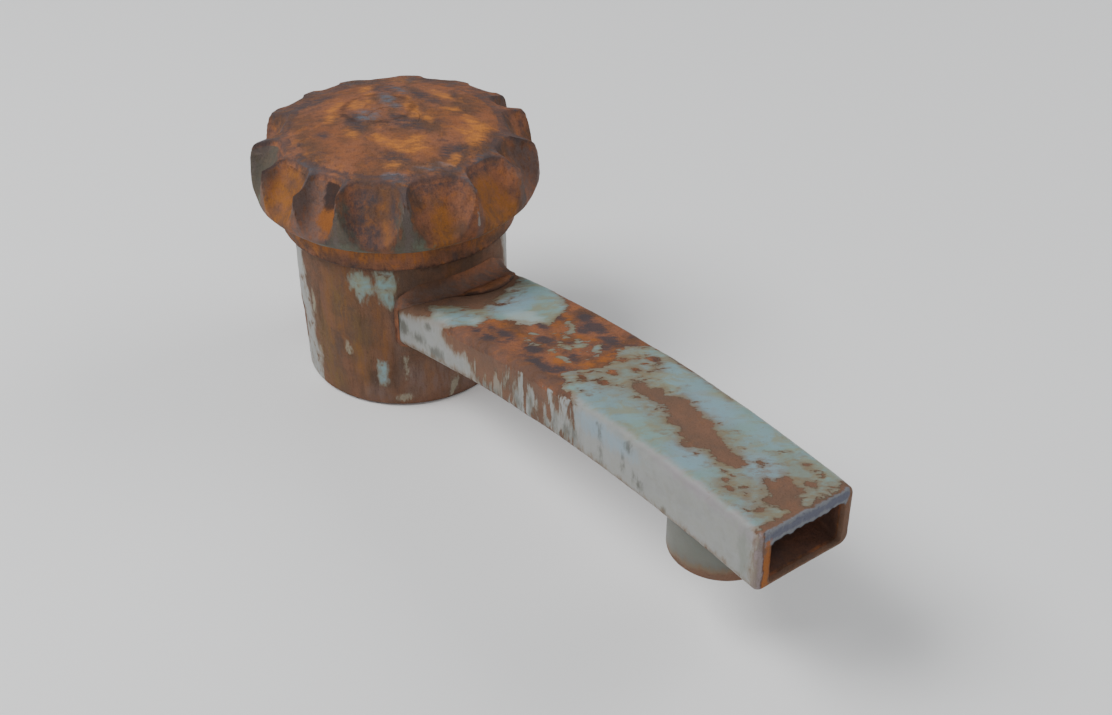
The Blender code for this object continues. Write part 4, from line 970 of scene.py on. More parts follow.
CREASE_X = 26.6
CRESCENT_X = 30.3
CRESCENT_MIDDLE_Y = 4.6
CRESCENT_HALF_WIDTH = 7.6
CRESCENT_HEIGHT = 0.85
BLEND_HEIGHTS = ((0.0, 3.6), (0.12, 2.5), (0.28, 1.6), (0.48, 0.85), (0.7, 0.38), (0.88, 0.14),
                 (1.0, 0.06))
CRESCENT_PROFILE = ((0.08, 0.45), (0.22, 0.9), (0.45, 1.0), (0.68, 0.9), (0.86, 0.55),
                    (0.97, 0.15), (1.0, 0.0))
SIDE_FILLET = ((0.0, 0.55), (0.05, 0.46), (0.1, 0.38), (0.16, 0.31), (0.22, 0.25), (0.28, 0.2),
               (0.34, 0.16), (0.4, 0.12), (0.45, 0.09), (0.5, 0.07), (0.55, 0.05), (0.6, 0.035),
               (0.65, 0.02), (0.7, 0.0))


def crescent_end(y):
    """How far along the spout the crescent reaches at each place across it."""
    return CRESCENT_X - 4.0 * ((y - CRESCENT_MIDDLE_Y) / CRESCENT_HALF_WIDTH) ** 2


def fillet_rings():
    """The fillet: a deep blend and a raised crescent on top, and a small cove elsewhere."""
    base = spout_ring(0.0, 0.0)
    y = base[:, 1]
    start = np.sqrt((BODY_RADIUS + SEAM) ** 2 - y ** 2)
    end = np.maximum(crescent_end(y), start + 2.8)
    crease = np.minimum(CREASE_X, end - 0.1)
    tall = CRESCENT_HEIGHT * smoothstep(end - crease, 0.3, 2.0)
    on_top = smoothstep(OUTLINE[3], 0.2, 1.0)
    top_x = [start + share * (crease - start) for share, _ in BLEND_HEIGHTS]
    top_x += [crease + share * (end - crease) for share, _ in CRESCENT_PROFILE]
    top_proud = [np.full(y.shape, height) for _, height in BLEND_HEIGHTS]
    top_proud += [height * tall for _, height in CRESCENT_PROFILE]
    rings = []
    fade = 1.0 - 0.5 * smoothstep(np.abs(y), 8.5, 13.0)
    for x, proud, (side_along, side_proud) in zip(top_x, top_proud, SIDE_FILLET):
        ring_x = (start + side_along) * (1.0 - on_top) + x * on_top
        height = side_proud * (1.0 - on_top) + proud * fade * on_top
        rings.append(offset_ring(ring_x, height + SEAM))
    rings += [offset_ring(rings[-1][:, 0], 0.02), offset_ring(start, 0.02)]
    rings = np.array(rings)
    on_body = (np.arange(len(rings)) == 0) | (np.arange(len(rings)) >= len(rings) - 2)
    amounts = 0.16 * bumps(rings, 1.6, 11) + 0.2 * bumps(rings, 4.0, 12)
    return relief(rings, amounts * ~on_body[:, None], closed=True)


def offset_ring(x, offset):
    """A ring on the spout's surface at its own x for each point, raised by its own offset."""
    half_width = along_spout(x, SPOUT_HALF_WIDTHS)
    half_height = along_spout(x, SPOUT_HEIGHTS) / 2.0
    flat_y, corner_y, flat_z, corner_z = OUTLINE
    corner = SPOUT_CORNER
    y = flat_y * (half_width - corner) + corner_y * (corner + offset)
    z = flat_z * (half_height - corner) + corner_z * (corner + offset)
    return np.stack([x, y, spout_top(x) - half_height + z], -1)


def fillet_fields(points):
    """The fillet is bare: mauve on the blend, painted shade in the crease and at the crescent's edge,
    orange on the crescent.
    """
    x, _, depth, _, _ = spout_chart(points)
    y = points[:, 1]
    end = crescent_end(y)
    off_top = (1.0 - smoothstep(depth, 2.5, 0.5)) * FAR
    # Painted shade: dark lines along the crease and the crescent's edge.
    edges = np.minimum(np.abs(x - CREASE_X), np.abs(x - end + 0.15))
    edges = edges + 2.0 * smoothstep(np.abs(y - CRESCENT_MIDDLE_Y) / CRESCENT_HALF_WIDTH, 0.75, 1.1)
    return {
        "orange": (end - CREASE_X) / 2.0 - np.abs(x - (CREASE_X + end) / 2.0) - off_top,
        "mauve": np.minimum(CREASE_X - 0.3 - x, 2.4 - points[:, 2] + spout_top(x)) - off_top,
        "dark": 0.30 - edges - off_top,
    }


# ---------------------------------------------------------------- body and collar

BODY_OUTSIDE = ((21.9, 0.0), (22.4, 0.5), (22.8, 15.0), (23.0, 17.5), (23.0, BODY_TOP_Z - 0.5),
                (22.5, BODY_TOP_Z))
BODY_INSIDE = ((14.0, BODY_TOP_Z), (14.0, 17.5), (6.3, 17.5), (6.3, 13.5), (14.0, 13.5),
               (14.0, 10.0))
SEAL_GROOVE = ((17.0, 0.0), (17.0, 2.7), (20.0, 2.7), (20.0, 0.0))
BODY_COLUMNS = 280
BODY_SKIN = 1.6
# Height above which the body's top is darkened with painted shade under the collar.
BODY_SHADE_Z = 35.0
BASE_TOP_Z = 10.0
COLLAR_PLATE = 2.3
PORT = ((13.0, 24.0), (-9.5, 9.5), (19.6, 26.0))
STUD_HOLE_TOP_Z = 8.7
HOLE_GAP = 0.05
CUT_CLEAR = 1.0
COLLAR_FLANGE_BORE = 17.7
COLLAR_NECK_BORE = 9.9

# Orange spots round the collar's middle: where each lies, in degrees, and half its length
COLLAR_GLOW = ((-75, 7), (-50, 3), (-38, 4), (-22, 3), (4, 2), (22, 4), (70, 6), (150, 8))
GLOW_HALF_HEIGHT = 1.3

# Patches on the body, as (degrees from the spout, height)
BODY_MINT = (
    ((-46, 33.8), (-45.5, 34.7), (-36, 34.7), (-34.6, 33), (-35.5, 29), (-36.6, 26.5), (-39, 25.4),
    (-42, 26), (-45, 28.5)),
    ((-60.5, 32), (-59, 34), (-52, 34.2), (-47.5, 33), (-47, 29.5), (-50, 28.5), (-52, 26.4),
    (-55, 26.6), (-57, 28.5), (-60, 29.5)),
    ((-49, 6), (-48.5, 10), (-47, 11.6), (-43.5, 11.4), (-41.5, 9), (-42, 6.5), (-45, 5.2)),
    ((60, 18), (66, 29), (74, 34), (92, 33), (100, 27), (94, 20), (84, 22), (72, 16)),
    ((150, 4), (154, 16), (163, 20), (178, 17), (185, 8), (174, 3), (160, 5)))
BODY_WHITE = (
    ((-97, 37), (-97, 33), (-96, 28), (-94, 23), (-91, 17), (-92, 12), (-87.5, 8), (-90, 4),
    (-88, -1), (-128, -1), (-134, 8), (-129, 17), (-138, 26), (-133, 37)),
    ((38, 34), (38.5, 33), (40, 30), (43, 25), (49, 22), (55, 26), (56, 33)))
BODY_BROWN = (
    ((-125, 8), (-124, 17), (-114, 18.5), (-105, 17), (-106, 9), (-116, 7.5)),
    ((-90, 19), (-90, 24), (-86, 24), (-86, 19)))
BODY_PALE = (
    ((-33, 7), (-33, 13), (-31.5, 13), (-31.8, 7)),
    ((-66, 12.5), (-66, 15.8), (-63.5, 15), (-64, 12.5)),
    ((-91, 19), (-90, 24.5), (-86.5, 22), (-88, 18)))
BODY_WISPS = (
    (-5, 3, 1.8, 0.35, 70), (-7, 2.2, 1.4, 0.3, 100), (-3.4, 4.2, 1.1, 0.25, 60),
    (-34.5, 2.2, 0.9, 0.7), (-88, 9, 1.2, 0.5, 90))
BODY_FLECKS = (
    (-61.5, 31, 3.6, 1, 90), (-75, 25, 5, 0.6, 90), (-46, 20.5, 5, 0.8, 90), (-5, 32.5, 1.4, 1, 90),
    (-42, 16, 6, 1.2, 90), (-58, 9, 4, 0.8, 90), (-66, 18, 4, 0.7, 90), (-20, 7, 3, 0.8, 90),
    (10, 9, 3, 0.8, 90), (-50, 27, 0.8, 0.6), (120, 22, 5, 1.2, 90), (205, 20, 5, 1.2, 90))
BODY_OCHRE = (
    (-82, 12, 9, 2.4, 90), (-70, 26, 6, 2.6, 90), (-57, 16, 8, 2.2, 90), (-77, 4, 3, 3, 90),
    (135, 14, 9, 3, 90), (190, 28, 5, 3, 90))
BODY_MAUVE = ((-18, 7, 7, 5), (-36, 20, 5, 1.5, 90), (-2, 4, 5, 3), (-50, 3, 3, 2), (40, 10, 6, 4))
BODY_DARK = (
    (-50.5, 9, 5, 0.5, 90), (-38.5, 10, 6, 0.6, 90), (-65, 8, 5, 0.5, 90), (-84, 22, 4, 0.5, 90),
    (-37, 22, 4, 0.6, 90), (-54.5, 22, 5, 0.4, 90))
BODY_LOOKS = {"orange": BODY_FLECKS, "ochre": BODY_OCHRE, "mauve": BODY_MAUVE}


def body_fields(points):
    """Where the body keeps some paint, where its rust is dark, orange or pale, and its painted shade
    under the collar.
    """
    x, y, z = points.T
    scale = math.radians(BODY_RADIUS)
    around = bearing(x, y) * scale
    wall = np.hypot(x, y) - (BODY_RADIUS - BODY_SKIN)
    white = shape_field(around, z, BODY_WHITE, scale)
    brown = shape_field(around, z, BODY_BROWN, scale)
    paint = np.maximum(shape_field(around, z, BODY_MINT, scale), np.minimum(white, -brown))
    paint = np.minimum(paint, wall * 3.0)
    # Painted shade under the collar darkens the body's top.
    shade_under_collar = np.minimum(z - BODY_SHADE_Z, 1.2)
    streaks = shape_field(around, z, BODY_DARK, scale)
    result = {look: shape_field(around, z, shapes, scale) for look, shapes in BODY_LOOKS.items()}
    result.update({
        "rust": -paint,
        "white": np.maximum(white + 3.0, -6.0),
        "dark": np.maximum(np.maximum(shade_under_collar, streaks), -wall * 4.0),
        "umber": np.full(x.shape, 2.0),
        "pale": np.maximum(shape_field(around, z, BODY_PALE, scale) - 0.1,
                           shape_field(around, z, BODY_WISPS, scale)),
        "speckled": np.where(paint > -2.5, -1.5, -FAR),
    })
    return result


def prism(centre, radius, low, high, count=48):
    """A short upright round cutter."""
    return [circle(radius, z, count, centre) for z in (low, high)]


def box_rings(sides):
    """A box as two rings, from its low and high x, y and z."""
    (x0, x1), (y0, y1), (z0, z1) = sides
    return [[(x0, y0, z), (x1, y0, z), (x1, y1, z), (x0, y1, z)] for z in (z0, z1)]


def body_rings():
    """The cast body: rough and slightly uneven outside, machined inside and underneath."""
    outside = divided(softened(BODY_OUTSIDE, 0.5, closed=False), 0.55, closed=False)
    inside = divided(BODY_INSIDE, 2.5, closed=False)
    profile = list(SEAL_GROOVE) + outside + inside
    rings = turned_rings(profile, BODY_COLUMNS)
    amounts = 0.10 * bumps(rings, 8.0, 21) + 0.07 * bumps(rings, 1.8, 22)
    first = len(SEAL_GROOVE) + 1
    rows = np.zeros(len(profile))
    rows[first:first + len(outside) - 3] = 1.0
    return relief(rings, amounts * rows[:, None], closed=False)


def collar_rings():
    """The collar ring, with worn edges and a dimpled outside."""
    plate_z = COLLAR_TOP_Z - COLLAR_PLATE
    outline = [(COLLAR_FLANGE_BORE, COLLAR_BOTTOM_Z), (COLLAR_RADIUS - 0.35, COLLAR_BOTTOM_Z),
               (COLLAR_RADIUS, COLLAR_BOTTOM_Z + 0.35), (COLLAR_RADIUS, COLLAR_TOP_Z - 0.5),
               (COLLAR_RADIUS - 0.5, COLLAR_TOP_Z), (COLLAR_NECK_BORE, COLLAR_TOP_Z),
               (COLLAR_NECK_BORE, plate_z), (COLLAR_FLANGE_BORE, plate_z)]
    profile = divided(softened(outline, 0.3), 0.45)
    rings = turned_rings(profile, BODY_COLUMNS)
    amounts = 0.09 * bumps(rings, 5.0, 31) + 0.06 * bumps(rings, 1.3, 32)
    outer = np.array([radius > COLLAR_RADIUS - 0.2 for radius, _ in profile], float)
    return relief(rings, amounts * outer[:, None], closed=True)


def collar_fields(points):
    """The collar is bare, a little more orange round its middle and dark at its foot."""
    x, y, z = points.T
    scale = math.radians(COLLAR_RADIUS)
    around = np.degrees(np.arctan2(y, x)) * scale
    middle = (COLLAR_BOTTOM_Z + COLLAR_TOP_Z) / 2.0 + 0.8
    spots = [(place, middle, length, GLOW_HALF_HEIGHT) for place, length in COLLAR_GLOW]
    return {"dark": np.minimum(COLLAR_BOTTOM_Z + 0.5 - z, 0.8),
            "orange": shape_field(around, z, spots, scale)}


# ---------------------------------------------------------------- knob

KNOB_COLUMNS = 540
KNOB_SIDE_ROWS = 40
KNOB_DOME_ROWS = 44
KNOB_RIM_ROUND = 0.5
RIDGE_ROUND = 0.15
KNOB_INSIDE = ((9.6, 46.6), (9.6, 52.3), (21.5, 52.3), (26.0, 45.6), (26.0, KNOB_BOTTOM_Z))
KNOB_SOCKET = ((6.5, 45.6), (6.5, 51.5))
KNOB_WEB_HOLE_RADIUS = 2.0
KNOB_RECESS_Z = 53.0
KNOB_RECESS_RADIUS = 5.55
INDEX_CAP_BOTTOM_Z = 56.6
INDEX_CAP_SIDE_Z = 57.6
INDEX_CAP_RADIUS = 5.5
INDEX_CAP_EDGE = 0.02

# Patches on the knob's top, as (x, y) from its axis
TOP_YELLOW_OUTLINES = (
    ((4, 14.5), (8, 14.6), (12, 16), (14, 15), (16, 12.5), (18.4, 9.5), (18, 7.8), (13, 8.2),
    (10, 8), (11.5, 10.5), (9, 12)),
    ((9, -1), (11, 0.4), (15, -0.5), (14.4, -4), (12.5, -6), (9, -8), (5, -8), (4, -6.8), (7, -5.6),
    (10, -3.6)),
    ((-14, -1), (-11, -0.6), (-8, -2), (-8.4, -4), (-10.5, -4.8), (-13, -3)),
    ((-8.4, 8.8), (-4, 7.6), (3, 5.2), (2.4, 3), (-1, 4.4), (-6, 6.2)))
TOP_YELLOW = (
    (-19, 14.5, 3.4, 2, 45), (2.5, 13, 2, 1.2, 30), (-18.5, 4, 2, 1, -40), (-5, 15.6, 3, 1, 10),
    (1, -10.5, 1.6, 0.8), (16, -9.5, 1.2, 0.7, 60))
TOP_ARCS = (
    (0.55, ((-14.8, 3), (-12.5, 1), (-9.8, 0))), (0.75, ((-14, -5), (-12, -7.5), (-8, -10.5))),
    (0.55, ((19.5, 3), (21, 1.2), (21.8, -1))), (0.4, ((3, 6), (6.5, 5))))
TOP_AMBER = (
    (-2, 24, 10, 4.5), (-12, 19, 5, 3, 40), (8, 19, 6, 3, -20), (10, 11, 7, 4), (11, -4, 7, 4, 30),
    (-12, -5, 4, 6, 30), (2, -14, 14, 3.5), (-20, 0, 3, 6))
TOP_BLUE = (
    (-6.2, -3.3, 1.5, 0.9, 20), (-4, -2.2, 1.6, 0.8, -30), (-9.5, 4, 3.2, 1.4, -25),
    (-5, 3.2, 1.6, 0.9), (-3.6, -5.2, 1.2, 0.7), (-12, 9.5, 3, 1.2))
TOP_SMOKE = (
    (-4, -7, 4.5, 1.6, -20), (-15, 8, 4, 3), (14, -8, 3, 2), (-20, -8, 2, 5), (3, 1, 5, 2.4, 20),
    (-8, 11, 6, 2, 10), (-3, -15, 1.5, 0.8), (18, 3, 2.5, 3))
RIM_BLUE = (
    (23, 6.5, 3.4, 1.2, 110), (20.5, -4.5, 2.6, 1, 70), (19.5, -11.5, 2.4, 1.2, 30),
    (16, 23, 3.5, 1.6, -35), (26.5, 1, 2, 1.2), (4, -24, 3.5, 1, 10), (-11, -25, 3.4, 1.3, -20),
    (12, -22.5, 3, 0.9), (9, 26, 5, 1, -25))
WORN_RING_MIDDLE = (-6.5, 0.0)
WORN_RING_RADIUS = 7.4
WORN_RING_HALF_WIDTH = 0.45

# The worn lines along the ridges, the dark line round the brim (wear, and painted shade at the flutes'
# top edges), and how far in each reaches
RIDGE_HALF_WIDTH = 0.55
RIDGE_FROM_RADIUS = 22.0
BRIM_HALF_WIDTH = 0.5
BRIM_FROM_RADIUS = 21.5

# Patches on the knob's side, as (degrees from the spout, height)
SIDE_ORANGE = (
    ((-97, 42), (-96, 47), (-95, 52), (-92, 54.5), (-84, 54.8), (-78, 53), (-76, 49), (-78, 45),
    (-84, 42)), ((-39, 50.5), (-38.5, 55), (-35.5, 55), (-35, 51)),
    ((-37.5, 45), (-37, 49), (-34, 49), (-35, 45)),
    ((4, 42), (4, 52), (10, 54), (18, 52), (22, 48), (22, 42)),
    ((-19, 42), (-17, 50), (-12, 52), (-8, 48), (-10, 42)),
    ((122, 43), (124, 52), (134, 53), (136, 44)), ((216, 43), (220, 53), (236, 53), (238, 43)))
SIDE_PALE = (
    ((-61, 42), (-58.5, 45), (-57, 49), (-56.4, 52), (-54, 53), (-52.5, 52), (-51.4, 49),
    (-48.5, 46), (-44, 43.5), (-42, 42)),
    ((-35, 42), (-32.5, 45), (-31, 49), (-30, 53), (-28.4, 54.5), (-27, 52), (-25.5, 49), (-23, 46),
    (-19.5, 43.5), (-16, 42)),
    ((-140, 42), (-136, 53), (-126, 56), (-112, 55), (-101, 51), (-98.5, 46), (-97, 42)),
    ((72, 42), (75, 47), (77, 53), (79.5, 53), (81, 47), (85, 42)),
    ((111, 42), (114.5, 47), (116, 53), (118, 53), (120, 47), (124, 42)),
    ((166, 42), (169.5, 47), (171, 53), (173, 53), (175, 47), (180, 42)))
SIDE_LILAC = (
    ((-73.5, 42), (-75, 47), (-75.4, 52), (-73, 55), (-66, 55), (-62.8, 53), (-62.8, 47),
    (-64, 42)),
    ((32, 42), (34, 50), (40, 54), (52, 52), (56, 44), (50, 42)),
    ((142, 43), (148, 53), (162, 53), (166, 43)))
SIDE_STRIP = (((-65, 46.5), (-65.4, 50.6), (-57.4, 50.6), (-57, 48), (-59, 46), (-62, 45.6)),)
# Dark boxes at the tops of two flutes: painted shade under the rim.
SIDE_RIM_SHADE = (
    ((-65, 49.8), (-65.6, 55.5), (-56, 55.5), (-56, 50.4)),
    ((-93, 54), (-93, 55.6), (-79, 55.6), (-79, 54.4)))
# Slate patches down the side; those just under the rim, about 54 to 56 high, are painted shade.
SIDE_SMOKE_AND_RIM_SHADE = (
    (-107, 52.4, 5, 2.6), (-48.5, 49, 2.6, 5), (-43, 46, 3, 2.4), (-43.5, 53, 3.6, 1.6),
    (-32.5, 51, 0.9, 3), (-59.6, 45, 1.6, 2.6), (-16, 54.4, 5, 1.2), (-106, 54.6, 4.4, 1.8),
    (-67, 55.6, 3, 0.8), (-120, 50, 2.5, 2), (12, 54.4, 4.5, 0.9), (-86, 52, 1.6, 0.9),
    (-89, 46.4, 1.2, 1), (-83, 44, 1, 0.7), (30, 47, 1.2, 4), (-27, 50, 0.4, 2.5))
SIDE_HOLE = ((-80, 49.5, 0.34, 0.5),)
SIDE_GREEN = ((-25, 43.4, 2.6, 1.8), (-52, 43.4, 2, 1.2), (-104, 46, 2, 3))
# Painted highlights: bright lines along two ridges.
SIDE_GLINT = ((0.22, ((0.6, 46.5), (0.1, 50.8))), (0.14, ((-75.6, 49), (-76, 53.5))))
KNOB_SIDE_LOOKS = {"orange": SIDE_ORANGE, "pale": SIDE_PALE, "strip": SIDE_STRIP,
                   "lilac": SIDE_LILAC}


def dome_height(radius):
    """Height of the knob's shallow dome at a distance from its axis."""
    return KNOB_CROWN_Z - (KNOB_CROWN_Z - KNOB_RIM_Z) * (radius / KNOB_RIM_RADIUS) ** 2


def flute_columns():
    """For each column round the knob: its angle, the angle from its flute's middle, the radius
    of the scoop that cuts the flute, and how far in that cuts at the rim."""
    angles = even_angles(KNOB_COLUMNS)
    ridges = np.radians(np.array(RIDGE_ANGLES + (RIDGE_ANGLES[0] + 360.0,)))
    lifted = np.where(angles < ridges[0], angles + 2.0 * math.pi, angles)
    flute = np.searchsorted(ridges, lifted, side="right") - 1
    flute = np.minimum(flute, len(RIDGE_ANGLES) - 1)
    width = ridges[flute + 1] - ridges[flute]
    off_middle = lifted - (ridges[flute] + width / 2.0)
    floor = KNOB_RIM_RADIUS - np.array(FLUTE_RIM_DEPTHS)[flute]
    return angles, off_middle, width * KNOB_RIM_RADIUS * FLUTE_WIDTH_RATIO, floor


def knob_radius(height_share, off_middle, scoop, rim_floor):
    """Radius of the knob's side: the ridge line or the scoop, with the corner between worn."""
    ridge = np.interp(height_share, KNOB_SIDE_SHARES, KNOB_SIDE_RADII)
    rise = (height_share - FLUTE_START) / (1.0 - FLUTE_START)
    floor = FLUTE_FLOOR_LOW + (rim_floor - FLUTE_FLOOR_LOW) * rise
    centre = floor + scoop
    reach = scoop ** 2 - (centre * np.sin(off_middle)) ** 2
    scooped = centre * np.cos(off_middle) - np.sqrt(np.maximum(reach, 0.0))
    scooped = np.where(reach <= 0.0, ridge + 2.0, scooped)
    depth = np.maximum(ridge - floor, 0.01)
    share = np.clip((ridge - scooped) / depth, 0.0, 1.0)
    squared = ridge - depth * (1.0 - (1.0 - share) ** FLUTE_SQUARENESS)
    scooped = np.where(scooped < ridge, squared, scooped)
    mean = (ridge + scooped) / 2.0
    return mean - np.sqrt(((ridge - scooped) / 2.0) ** 2 + RIDGE_ROUND ** 2)


def knob_rings():
    """The knob's casting: a hollow inside, the fluted side, a worn rim and a shallow dome."""
    angles, *flute = flute_columns()
    rim = knob_radius(1.0, *flute)
    inside = divided(KNOB_INSIDE, 1.8, closed=False)
    rows = list(inside)
    side_end = 1.0 - KNOB_RIM_ROUND / (KNOB_RIM_Z - KNOB_BOTTOM_Z)
    for share in np.concatenate([[0.0], np.linspace(0.02, side_end, KNOB_SIDE_ROWS)]):
        inset = 0.3 if share == 0.0 else 0.0
        z = KNOB_BOTTOM_Z + (dome_height(rim) - KNOB_BOTTOM_Z) * share
        rows.append((knob_radius(share, *flute) - inset, z))
    start_radius, start_z = rows[-1]
    end_radius = rim - KNOB_RIM_ROUND
    end_z = dome_height(end_radius)
    for step in range(1, 7):
        share = step / 7.0
        weights = ((1 - share) ** 2, 2 * share * (1 - share), share ** 2)
        rows.append((weights[0] * start_radius + weights[1] * rim + weights[2] * end_radius,
                     weights[0] * start_z + weights[1] * dome_height(rim) + weights[2] * end_z))
    for share in np.linspace(1.0, 0.05, KNOB_DOME_ROWS):
        radius = share * end_radius
        rows.append((radius, dome_height(radius)))
    rings = np.array([ring_at(radius, angles, z) for radius, z in rows])
    outer = np.zeros(len(rows))
    outer[len(inside) + 1:] = 1.0
    amounts = 0.14 * bumps(rings, 6.0, 41) + 0.07 * bumps(rings, 1.6, 42)
    amounts = amounts * outer[:, None]
    from_axis = np.hypot(rings[..., 0], rings[..., 1])
    flat = (from_axis < KNOB_RECESS_RADIUS + 0.6) & (outer[:, None] > 0.0)
    middle = from_axis < KNOB_RECESS_RADIUS + 3.0
    amounts = np.where(flat, 0.0, np.where(middle, amounts * 0.5, amounts))
    return relief(rings, amounts, closed=False)


def knob_cutter():
    """The socket for the insert, the screw's hole and the recess for the index cap."""
    rings = [polygon_ring(6, radius, z) for radius, z in KNOB_SOCKET]
    rings += [circle(radius, z) for radius, z in (
        (KNOB_WEB_HOLE_RADIUS, KNOB_SOCKET[1][1]), (KNOB_WEB_HOLE_RADIUS, KNOB_RECESS_Z),
        (KNOB_RECESS_RADIUS, KNOB_RECESS_Z), (KNOB_RECESS_RADIUS, KNOB_CROWN_Z + CUT_CLEAR))]
    return rings


def index_cap_rings():
    """The plain cap in the knob's middle, almost flush with the dome."""
    rings = [circle(INDEX_CAP_RADIUS, z) for z in (INDEX_CAP_BOTTOM_Z, INDEX_CAP_SIDE_Z)]
    for share in np.linspace(1.0, 0.06, 18):
        radius = INDEX_CAP_RADIUS * share
        edge = INDEX_CAP_EDGE * smoothstep(np.array(share), 0.94, 1.0)
        rings.append(circle(radius, dome_height(radius) - edge))
    rings = np.array(rings)
    amounts = 0.05 * bumps(rings, 1.6, 42)
    amounts[:2] = 0.0
    return relief(rings, amounts, closed=False)


def knob_fields(points):
    """The knob's rust: yellow, blue-grey and worn places on top, and patches down its side, with
    painted shade under the rim and painted highlights on two ridges.
    """
    x, y, z = points.T
    radius = np.hypot(x, y)
    angle = bearing(x, y)
    scale = math.radians(KNOB_RIM_RADIUS)
    around = angle * scale
    on_top = smoothstep(dome_height(radius) - z, 1.2, 0.3)
    off_top = (1.0 - on_top) * FAR
    off_side = on_top * FAR
    gaps = np.abs(np.mod(angle[:, None] - np.array(RIDGE_ANGLES) + 180.0, 360.0) - 180.0).min(axis=1)
    below_dome = np.abs(dome_height(radius) - 0.3 - z)
    ring_off = np.hypot(x - WORN_RING_MIDDLE[0], y - WORN_RING_MIDDLE[1]) - WORN_RING_RADIUS
    hollow = np.interp(z, KNOB_HOLLOW_HEIGHTS, KNOB_HOLLOW_RADII) + 0.3 - radius
    hollow = np.where(z < KNOB_HOLLOW_HEIGHTS[1] + 0.1, hollow, -FAR)
    yellow = np.maximum(shape_field(x, y, TOP_YELLOW_OUTLINES), shape_field(x, y, TOP_YELLOW))
    yellow = np.maximum(yellow, shape_field(x, y, TOP_ARCS))
    green = np.maximum(shape_field(around, z, SIDE_GREEN, scale), KNOB_BOTTOM_Z + 0.6 - z)
    # Painted shade under the rim, and a dark pit.
    rim_shade_and_pit = np.maximum(shape_field(around, z, SIDE_RIM_SHADE, scale),
                       shape_field(around, z, SIDE_HOLE, scale) * 3.0)
    result = {look: shape_field(around, z, shapes, scale) - off_side
              for look, shapes in KNOB_SIDE_LOOKS.items()}
    result.update({
        "amber": shape_field(x, y, TOP_AMBER) - off_top,
        "yellow": yellow - off_top,
        "smoke": np.maximum(shape_field(x, y, TOP_SMOKE) - off_top,
                            shape_field(around, z, SIDE_SMOKE_AND_RIM_SHADE, scale) - off_side),
        "blue": np.maximum(shape_field(x, y, TOP_BLUE), shape_field(x, y, RIM_BLUE)) - off_top,
        "worn": WORN_RING_HALF_WIDTH - np.abs(ring_off) - off_top,
        "ridge": np.where(radius > RIDGE_FROM_RADIUS, RIDGE_HALF_WIDTH - gaps * scale, -FAR),
        # Dark line round the brim: wear, and painted shade at the flutes' top edges.
        "brim": np.where(radius > BRIM_FROM_RADIUS, BRIM_HALF_WIDTH - below_dome, -FAR),
        "green": green - off_side,
        "rim_shade_and_pit": rim_shade_and_pit - off_side,
        "ridge_glint": shape_field(around, z, SIDE_GLINT, scale) * 6.0 - off_side,
        "dark": hollow * 3.0,
    })
    return result


# ---------------------------------------------------------------- nozzle and underside

THREAD_DEPTH = 0.45
THREAD_PITCH = 1.25
THREAD_ROW = 0.18
SEAL_INNER = 17.3
SEAL_OUTER = 19.7
SEAL_BEAD = 0.5
INLET_BORE = 4.45
STUD_BORE = 3.4
NOZZLE_MOUTH = 7.4
NOZZLE_CUP = 8.3
NOZZLE_NECK = 8.6
NOZZLE_WEB = 4.3
SHOULDER = 0.8
SPIGOT_RADIUS = 5.1
SPIGOT_BORE = 4.0
SPOUT_HOLE_RADIUS = 6.9
SPOUT_HOLE_Z = (23.0, 28.0)
DISC_RADIUS = 8.0
DISC_POLE = 0.4
DISC_HOLES = 8
DISC_HOLE_RADIUS = 1.3
DISC_HOLE_CIRCLE = 5.0


def nozzle_profile():
    """The aerator housing's profile: worn lip, plain side, shoulder and spigot."""
    top_z = spout_top(NOZZLE_X) - along_spout(NOZZLE_X, SPOUT_HEIGHTS) + 0.1
    spigot_top = span("aerator_housing", 2)[1]
    shoulder_z = NOZZLE_TOP_Z - SHOULDER
    web_bottom = NOZZLE_TOP_Z - NOZZLE_WEB
    lip_top = NOZZLE_BOTTOM_Z + 0.8
    outline = [(NOZZLE_MOUTH, NOZZLE_BOTTOM_Z), (NOZZLE_RADIUS - 0.7, NOZZLE_BOTTOM_Z),
               (NOZZLE_RADIUS - 0.1, NOZZLE_BOTTOM_Z + 0.6), (NOZZLE_RADIUS - 0.1, top_z - 0.3),
               (NOZZLE_RADIUS - 0.4, top_z), (NOZZLE_NECK, top_z), (NOZZLE_NECK, shoulder_z),
               (SPIGOT_RADIUS, shoulder_z), (SPIGOT_RADIUS, spigot_top), (SPIGOT_BORE, spigot_top),
               (SPIGOT_BORE, web_bottom), (NOZZLE_CUP, web_bottom), (NOZZLE_CUP, lip_top),
               (NOZZLE_MOUTH, lip_top)]
    return divided(softened(outline, 0.25), 0.5)


def nozzle_fields(points):
    """Paint on the nozzle's upper side, bare rust round its foot and inside."""
    x, y, z = points.T
    radius = np.hypot(x - NOZZLE_X, y)
    angle = np.arctan2(y, x - NOZZLE_X)
    foot = NOZZLE_BOTTOM_Z + 1.8 + 1.6 * np.sin(angle + 1.2) + 0.4 * np.sin(3.0 * angle) - z
    return {
        "rust": np.maximum(foot, (NOZZLE_RADIUS - 0.8 - radius) * 3.0),
        "white": np.full(radius.shape, 0.5),
        "dark": (NOZZLE_RADIUS - 1.2 - radius) * 2.0,
        "paint_grey": np.full(radius.shape, 1.5),
        "paint_brown": foot + 1.4,
        "umber": np.full(radius.shape, 2.0),
    }


